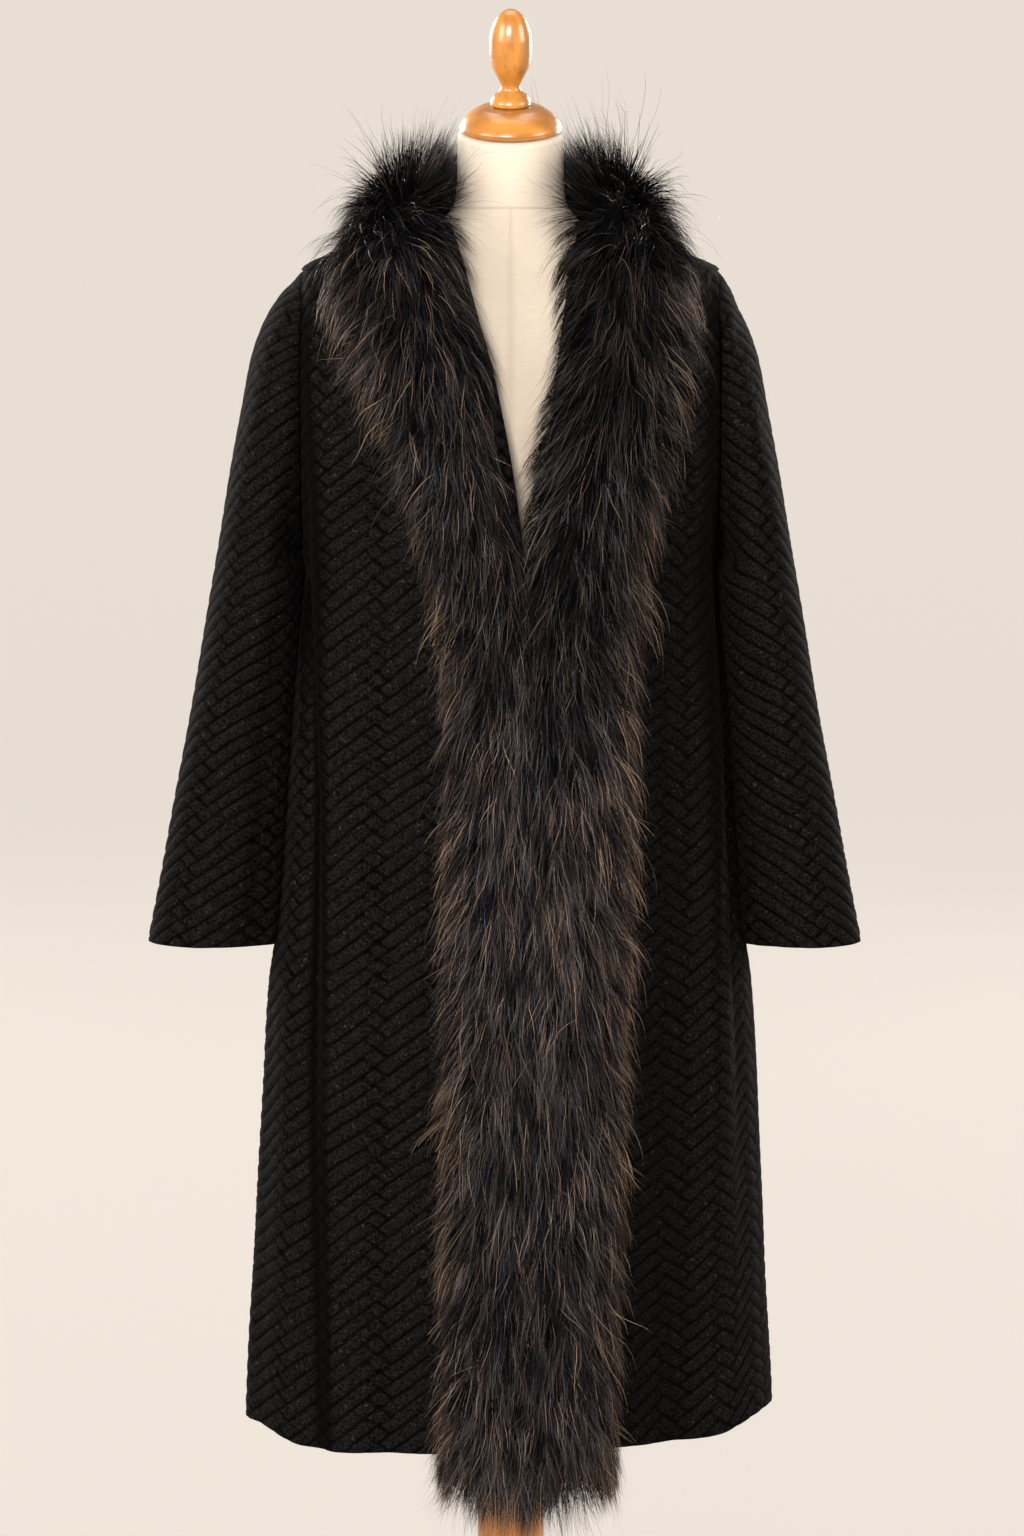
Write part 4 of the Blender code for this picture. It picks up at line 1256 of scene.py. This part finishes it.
def backdrop_material(stand):
    board = Board("backdrop", Roughness=0.95, Specular_IOR_Level=0.0, Emission_Strength=0.835)
    cloudy = board.noise(board.place(), 0.35, 1.0)
    # a faint contact shadow painted into the glow round the base
    reach = board.node("ShaderNodeVectorMath", {"operation": "LENGTH"},
                       {0: board.place((1.0, 1.0, 0.0))}, output=1)
    glow_with_painted_shadow = board.mix(reach.between(0.16, 0.42), scaled(stand.backdrop, 0.66), stand.backdrop)
    colour = board.mix(cloudy * 0.4, scaled(stand.backdrop, 0.040),
                       scaled(stand.backdrop, 0.036))
    return board.paint(Base_Color=colour, Emission_Color=glow_with_painted_shadow)


# ---- operators
def give(piece, material, node):
    """Finish one piece: material, the body it rides on and the solid it stands for."""
    piece.data.materials.append(material)
    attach(piece, "root")
    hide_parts(node)


def give_wool(wool, name, rows, runs, seed, fur_shadow_painted=False):
    """A quilted panel in wool, finished as one piece."""
    piece = quilted_panel("wool_" + name, rows, wool, runs, seed, fur_shadow_painted)
    give(piece, bpy.data.materials.get("quilted_wool") or wool_material(wool), name)


def body_levels(wool):
    """Heights of the rows of the coat's body."""
    return np.arange(HEM_Z, NECKLINE_Z, channel_step(wool))


def turned_back(rows):
    """The rows from their other end, for the pieces on the wearer's right."""
    return [(points[::-1], -far[::-1]) for points, far in rows]


def opening_edge(z, left):
    sign = 1.0 if left else -1.0
    if z < V_BOTTOM_Z:
        return PARTING_X + sign * PARTING_HALF
    return float(column_at(OPENING_TABLE, 2 if left else 1, z))


class COAT_OT_fronts(bpy.types.Operator):
    """Build the two quilted fronts"""

    bl_idname = "coat.fronts"
    bl_label = "Fronts"

    def execute(self, context):
        wool = context.scene.coat_wool
        for name, left, runs, seed in (("front_right", False, (4, 1), 7),
                                       ("front_left", True, (3, 2), 3)):
            rows = [front_curve(z, opening_edge(z, left), left) for z in body_levels(wool)]
            give_wool(wool, name, rows if left else turned_back(rows), runs, seed,
                      fur_shadow_painted=left)
        return {"FINISHED"}


class COAT_OT_back(bpy.types.Operator):
    """Build the quilted back"""

    bl_idname = "coat.back"
    bl_label = "Back"

    def execute(self, context):
        wool = context.scene.coat_wool
        rows = []
        for z in body_levels(wool):
            right, right_far = body_curve(z, False, True)
            left, left_far = body_curve(z, True, True)
            rows.append((np.concatenate([left[::-1], right[1:]]),
                         np.concatenate([-left_far[::-1], right_far[1:]])))
        give_wool(wool, "back", rows, (4, 3), 11)
        return {"FINISHED"}


class COAT_OT_sleeves(bpy.types.Operator):
    """Build the two quilted sleeves"""

    bl_idname = "coat.sleeves"
    bl_label = "Sleeves"

    def execute(self, context):
        wool = context.scene.coat_wool
        levels = np.arange(SLEEVE_LOW_Z, SLEEVE_HIGH_Z, channel_step(wool))
        for side, left, runs in (("right", False, (5, 1)), ("left", True, (1, 5))):
            rows = sleeve_curves(left, levels)
            give_wool(wool, "sleeve_" + side, rows if left else turned_back(rows), runs, 17)
        return {"FINISHED"}


class COAT_OT_fur(bpy.types.Operator):
    """Build the fur of the collar and the front edges"""

    bl_idname = "coat.fur"
    bl_label = "Fur"

    def execute(self, context):
        fur = context.scene.coat_fur
        coarse = 1
        under = fur_material("fur_under", 0.75, 0.02)
        long_hair = fur_material("fur_guard", 0.40, 0.20)
        fluff = pelt_material(fur)
        kinds = (("under", fur.hairs, 0.78), ("guard", fur.guard_hairs, 1.0),
                 ("stray", STRAY_SHARE * fur.guard_hairs, 1.05))
        for name, left, seed in (("fur_right", False, 100), ("fur_left", True, 200)):
            skin, top = pelt_grid(left)
            give(pelt_object(name + "_pelt", skin, top, left), fluff, name)
            pelt = comb(skin, top)
            for part, start, stop, share in HAIR_SPANS:
                points, faces, colours, start_at = [], [], [], 0
                for kind, number, length in kinds:
                    seed += 1
                    made = hairs(pelt, left, int(number * share / coarse), seed,
                                 fur.length * length, kind, fur, start, stop)
                    points.append(made[0])
                    faces.append(made[1] + start_at)
                    colours.append(made[2])
                    start_at += len(made[0])
                piece = mesh_object(name + "_" + part, np.concatenate(points),
                                    np.concatenate(faces), np.concatenate(colours))
                give(piece, under, name)
                piece.data.materials.append(long_hair)
                glossy = np.arange(len(piece.data.polygons)) >= len(faces[0])
                piece.data.polygons.foreach_set("material_index", glossy.astype(np.int32))
                seed += 10
        return {"FINISHED"}


def ringed_object(name, rings, shade=None):
    """A closed object from rings of points, with a fan of triangles over each end."""
    count, sides = rings.shape[:2]
    index = np.arange(count * sides).reshape(count, sides)
    low = np.full((1, sides), count * sides)
    faces = ring_faces(np.concatenate([low, index, low + 1]))
    points = np.concatenate([rings.reshape(-1, 3), rings[[0, -1]].mean(axis=1)])
    return mesh_object(name, points, faces, shade)


def turned_object(name, profile, origin, tilt):
    """A turned piece from radii and heights, smoothed between the given stations."""
    radii, heights = np.array(profile).T
    far = running(np.hypot(np.diff(radii), np.diff(heights)))
    table = list(zip(far, radii, heights))
    fine = np.linspace(0.0, far[-1], max(len(profile) * 4, 44))
    fine = np.unique(np.concatenate([fine, far]))
    r = column_at(table, 1, fine)[:, None]
    h = column_at(table, 2, fine)[:, None]
    turn = np.linspace(0.0, 2.0 * pi, TURNED_SIDES, endpoint=False)
    across = r * np.sin(turn)
    y = across * cos(tilt) - h * sin(tilt)
    z = across * sin(tilt) + h * cos(tilt)
    return ringed_object(name, np.stack([r * np.cos(turn), y, z], axis=2) + np.array(origin))


class COAT_OT_form(bpy.types.Operator):
    """Build the calico dress form with its seams"""

    bl_idname = "coat.form"
    bl_label = "Dress form"

    def execute(self, context):
        levels = np.unique(np.concatenate([
            np.linspace(0.780, 1.40, 40), np.linspace(1.40, NECK_TOP_Z, 44),
            NECK_SEAM_Z + np.linspace(-0.004, 0.004, 9)]))
        angle = np.linspace(0.0, 2.0 * pi, FORM_SIDES, endpoint=False)
        rings, shades = [], []
        for z in levels:
            width, front, back = row_at(FORM_TABLE, z)
            depth = np.where(np.sin(angle) < 0.0, front, back)
            # seams: round the neck, and below it down the centre front and back and each side
            neck = np.exp(-((z - NECK_SEAM_Z) / FORM_SEAM_HALF) ** 2)
            upright = np.minimum(np.abs(np.cos(angle)), np.abs(np.sin(angle)))
            if z > NECK_SEAM_Z:
                upright = np.ones(FORM_SIDES)
            centre = np.exp(-(upright * width / FORM_SEAM_HALF) ** 2)
            dip = FORM_SEAM_DIP * np.maximum(neck, centre)
            slope = tan(NECK_TILT) * float(smooth_step(1.49, NECK_TOP_Z, z))
            above = max((z - (NECK_TOP_Z - NECK_ROUNDING)) / NECK_ROUNDING, 0.0)
            rounding = NECK_ROUNDING * (1.0 - sqrt(max(1.0 - above ** 2, 0.0)))
            shrink = 1.0 - rounding / FORM_TABLE[-1][1]
            x = (width - dip) * np.cos(angle)
            y = (depth - dip) * np.sin(angle)
            rings.append(np.stack([x * shrink, y * shrink, z + slope * y], axis=1))
            shades.append(1.0 - 0.55 * np.maximum(neck, 0.55 * centre))
        shade = np.append(np.array(shades), [1.0, 1.0])
        piece = ringed_object("calico_form", np.array(rings), shade)
        give(piece, calico_material(context.scene.coat_stand), "dress_form")
        return {"FINISHED"}


class COAT_OT_wood(bpy.types.Operator):
    """Build the turned cap, finial, column and base"""

    bl_idname = "coat.wood"
    bl_label = "Turned wood"

    def execute(self, context):
        stand = context.scene.coat_stand
        upright = wood_material(stand, "wood_along", (1.0, 1.0, 0.16))
        across = wood_material(stand, "wood_across", (0.16, 1.0, 1.0))
        top = (0.0, 0.0, NECK_TOP_Z + SEAM_GAP)
        floor = (0.0, 0.0, 0.0)
        for name, profile, origin, tilt, wood in (
                ("neck_cap", CAP_PROFILE, top, NECK_TILT, across),
                ("finial", FINIAL_PROFILE, top, NECK_TILT, upright),
                ("column", COLUMN_PROFILE, floor, 0.0, upright),
                ("base", BASE_PROFILE, floor, 0.0, across)):
            give(turned_object("wood_" + name, profile, origin, tilt), wood, name)
        return {"FINISHED"}


class COAT_OT_stage(bpy.types.Operator):
    """Build the backdrop, the lights and the camera"""

    bl_idname = "coat.stage"
    bl_label = "Stage"

    def execute(self, context):
        self.cove(backdrop_material(context.scene.coat_stand))
        for lamp in LAMPS:
            self.lamp(*lamp)
        world = bpy.data.worlds.new("studio")
        world.use_nodes = True
        sky = world.node_tree.nodes["Background"]
        sky.inputs["Color"].default_value = (1.0, 0.965, 0.92, 1.0)
        sky.inputs["Strength"].default_value = 0.35
        context.scene.world = world
        context.scene.view_settings.view_transform = "Standard"
        self.camera(context)
        return {"FINISHED"}

    def cove(self, material):
        """A round floor that curves up into a low wall, the same from every side."""
        turn = 0.5 * pi * np.arange(1, 13) / 12
        wall = COVE_RADIUS + COVE_CURVE
        radii = np.concatenate([[0.0, 2.0, 4.0, 8.0, COVE_RADIUS],
                                COVE_RADIUS + COVE_CURVE * np.sin(turn), [wall, wall]])
        heights = np.concatenate([np.zeros(5), COVE_CURVE * (1.0 - np.cos(turn)), [4.0, 6.0]])
        angle = np.linspace(0.0, 2.0 * pi, COVE_SIDES, endpoint=False)
        points = np.stack([np.outer(radii, np.cos(angle)), np.outer(radii, np.sin(angle)),
                           np.repeat(heights[:, None], COVE_SIDES, axis=1)], axis=2)
        index = np.arange(points[..., 0].size).reshape(-1, COVE_SIDES)
        index[0] = 0
        floor = mesh_object("backdrop", points.reshape(-1, 3), ring_faces(index)[:, ::-1])
        floor.data.materials.append(material)

    def lamp(self, name, place, aim, size, power, colour):
        light = bpy.data.lights.new(name, "AREA")
        light.shape = "RECTANGLE"
        light.size, light.size_y = size
        light.energy = power
        light.color = colour
        made = bpy.data.objects.new(name, light)
        made.location = place
        way = [a - p for a, p in zip(aim, place)]
        made.rotation_euler = Vector(way).to_track_quat("-Z", "Y").to_euler()
        bpy.context.collection.objects.link(made)

    def camera(self, context):
        """The photograph's view: 5 m off, a little above the middle, looking slightly down."""
        away, height = 5.0, 1.45
        per_pixel, tall = 0.00102, 1536.0      # metres for each pixel, pixels of the height
        sensor, bottom = 36.0, 0.13            # millimetres, and where the frame's edge lies
        middle = bottom + 0.5 * tall * per_pixel
        lens = bpy.data.cameras.new("camera")
        lens.lens = sensor * (away / per_pixel) / tall
        lens.clip_end = 100.0
        made = bpy.data.objects.new("camera", lens)
        made.location = (0.0015, -away, height)
        made.rotation_euler = (radians(90.0) - atan((height - middle) / away), 0.0, 0.0)
        context.collection.objects.link(made)
        context.scene.camera = made


class COAT_PT_panel(bpy.types.Panel):
    """Lists the coat's pieces"""

    bl_idname = "COAT_PT_panel"
    bl_label = "Coat"
    bl_space_type = "VIEW_3D"
    bl_region_type = "UI"
    bl_category = "Coat"

    def draw(self, context):
        column = self.layout.column()
        for group in ("coat_wool", "coat_fur", "coat_stand"):
            settings = getattr(context.scene, group)
            for key in settings.__annotations__:
                column.prop(settings, key)
        for name in OPERATORS:
            column.operator("coat." + name)


OPERATORS = ("stage", "fronts", "back", "sleeves", "fur", "form", "wood")
CLASSES = (CoatWool, CoatFur, CoatStand, COAT_OT_fronts, COAT_OT_back, COAT_OT_sleeves,
           COAT_OT_fur, COAT_OT_form, COAT_OT_wood, COAT_OT_stage, COAT_PT_panel)


def register():
    for each in CLASSES:
        bpy.utils.register_class(each)
    bpy.types.Scene.coat_wool = PointerProperty(type=CoatWool)
    bpy.types.Scene.coat_fur = PointerProperty(type=CoatFur)
    bpy.types.Scene.coat_stand = PointerProperty(type=CoatStand)


def unregister():
    for group in ("coat_wool", "coat_fur", "coat_stand"):
        delattr(bpy.types.Scene, group)
    for each in reversed(CLASSES):
        bpy.utils.unregister_class(each)


def main():
    register()
    for name in OPERATORS:
        getattr(bpy.ops.coat, name)()


if __name__ == "__main__":
    main()
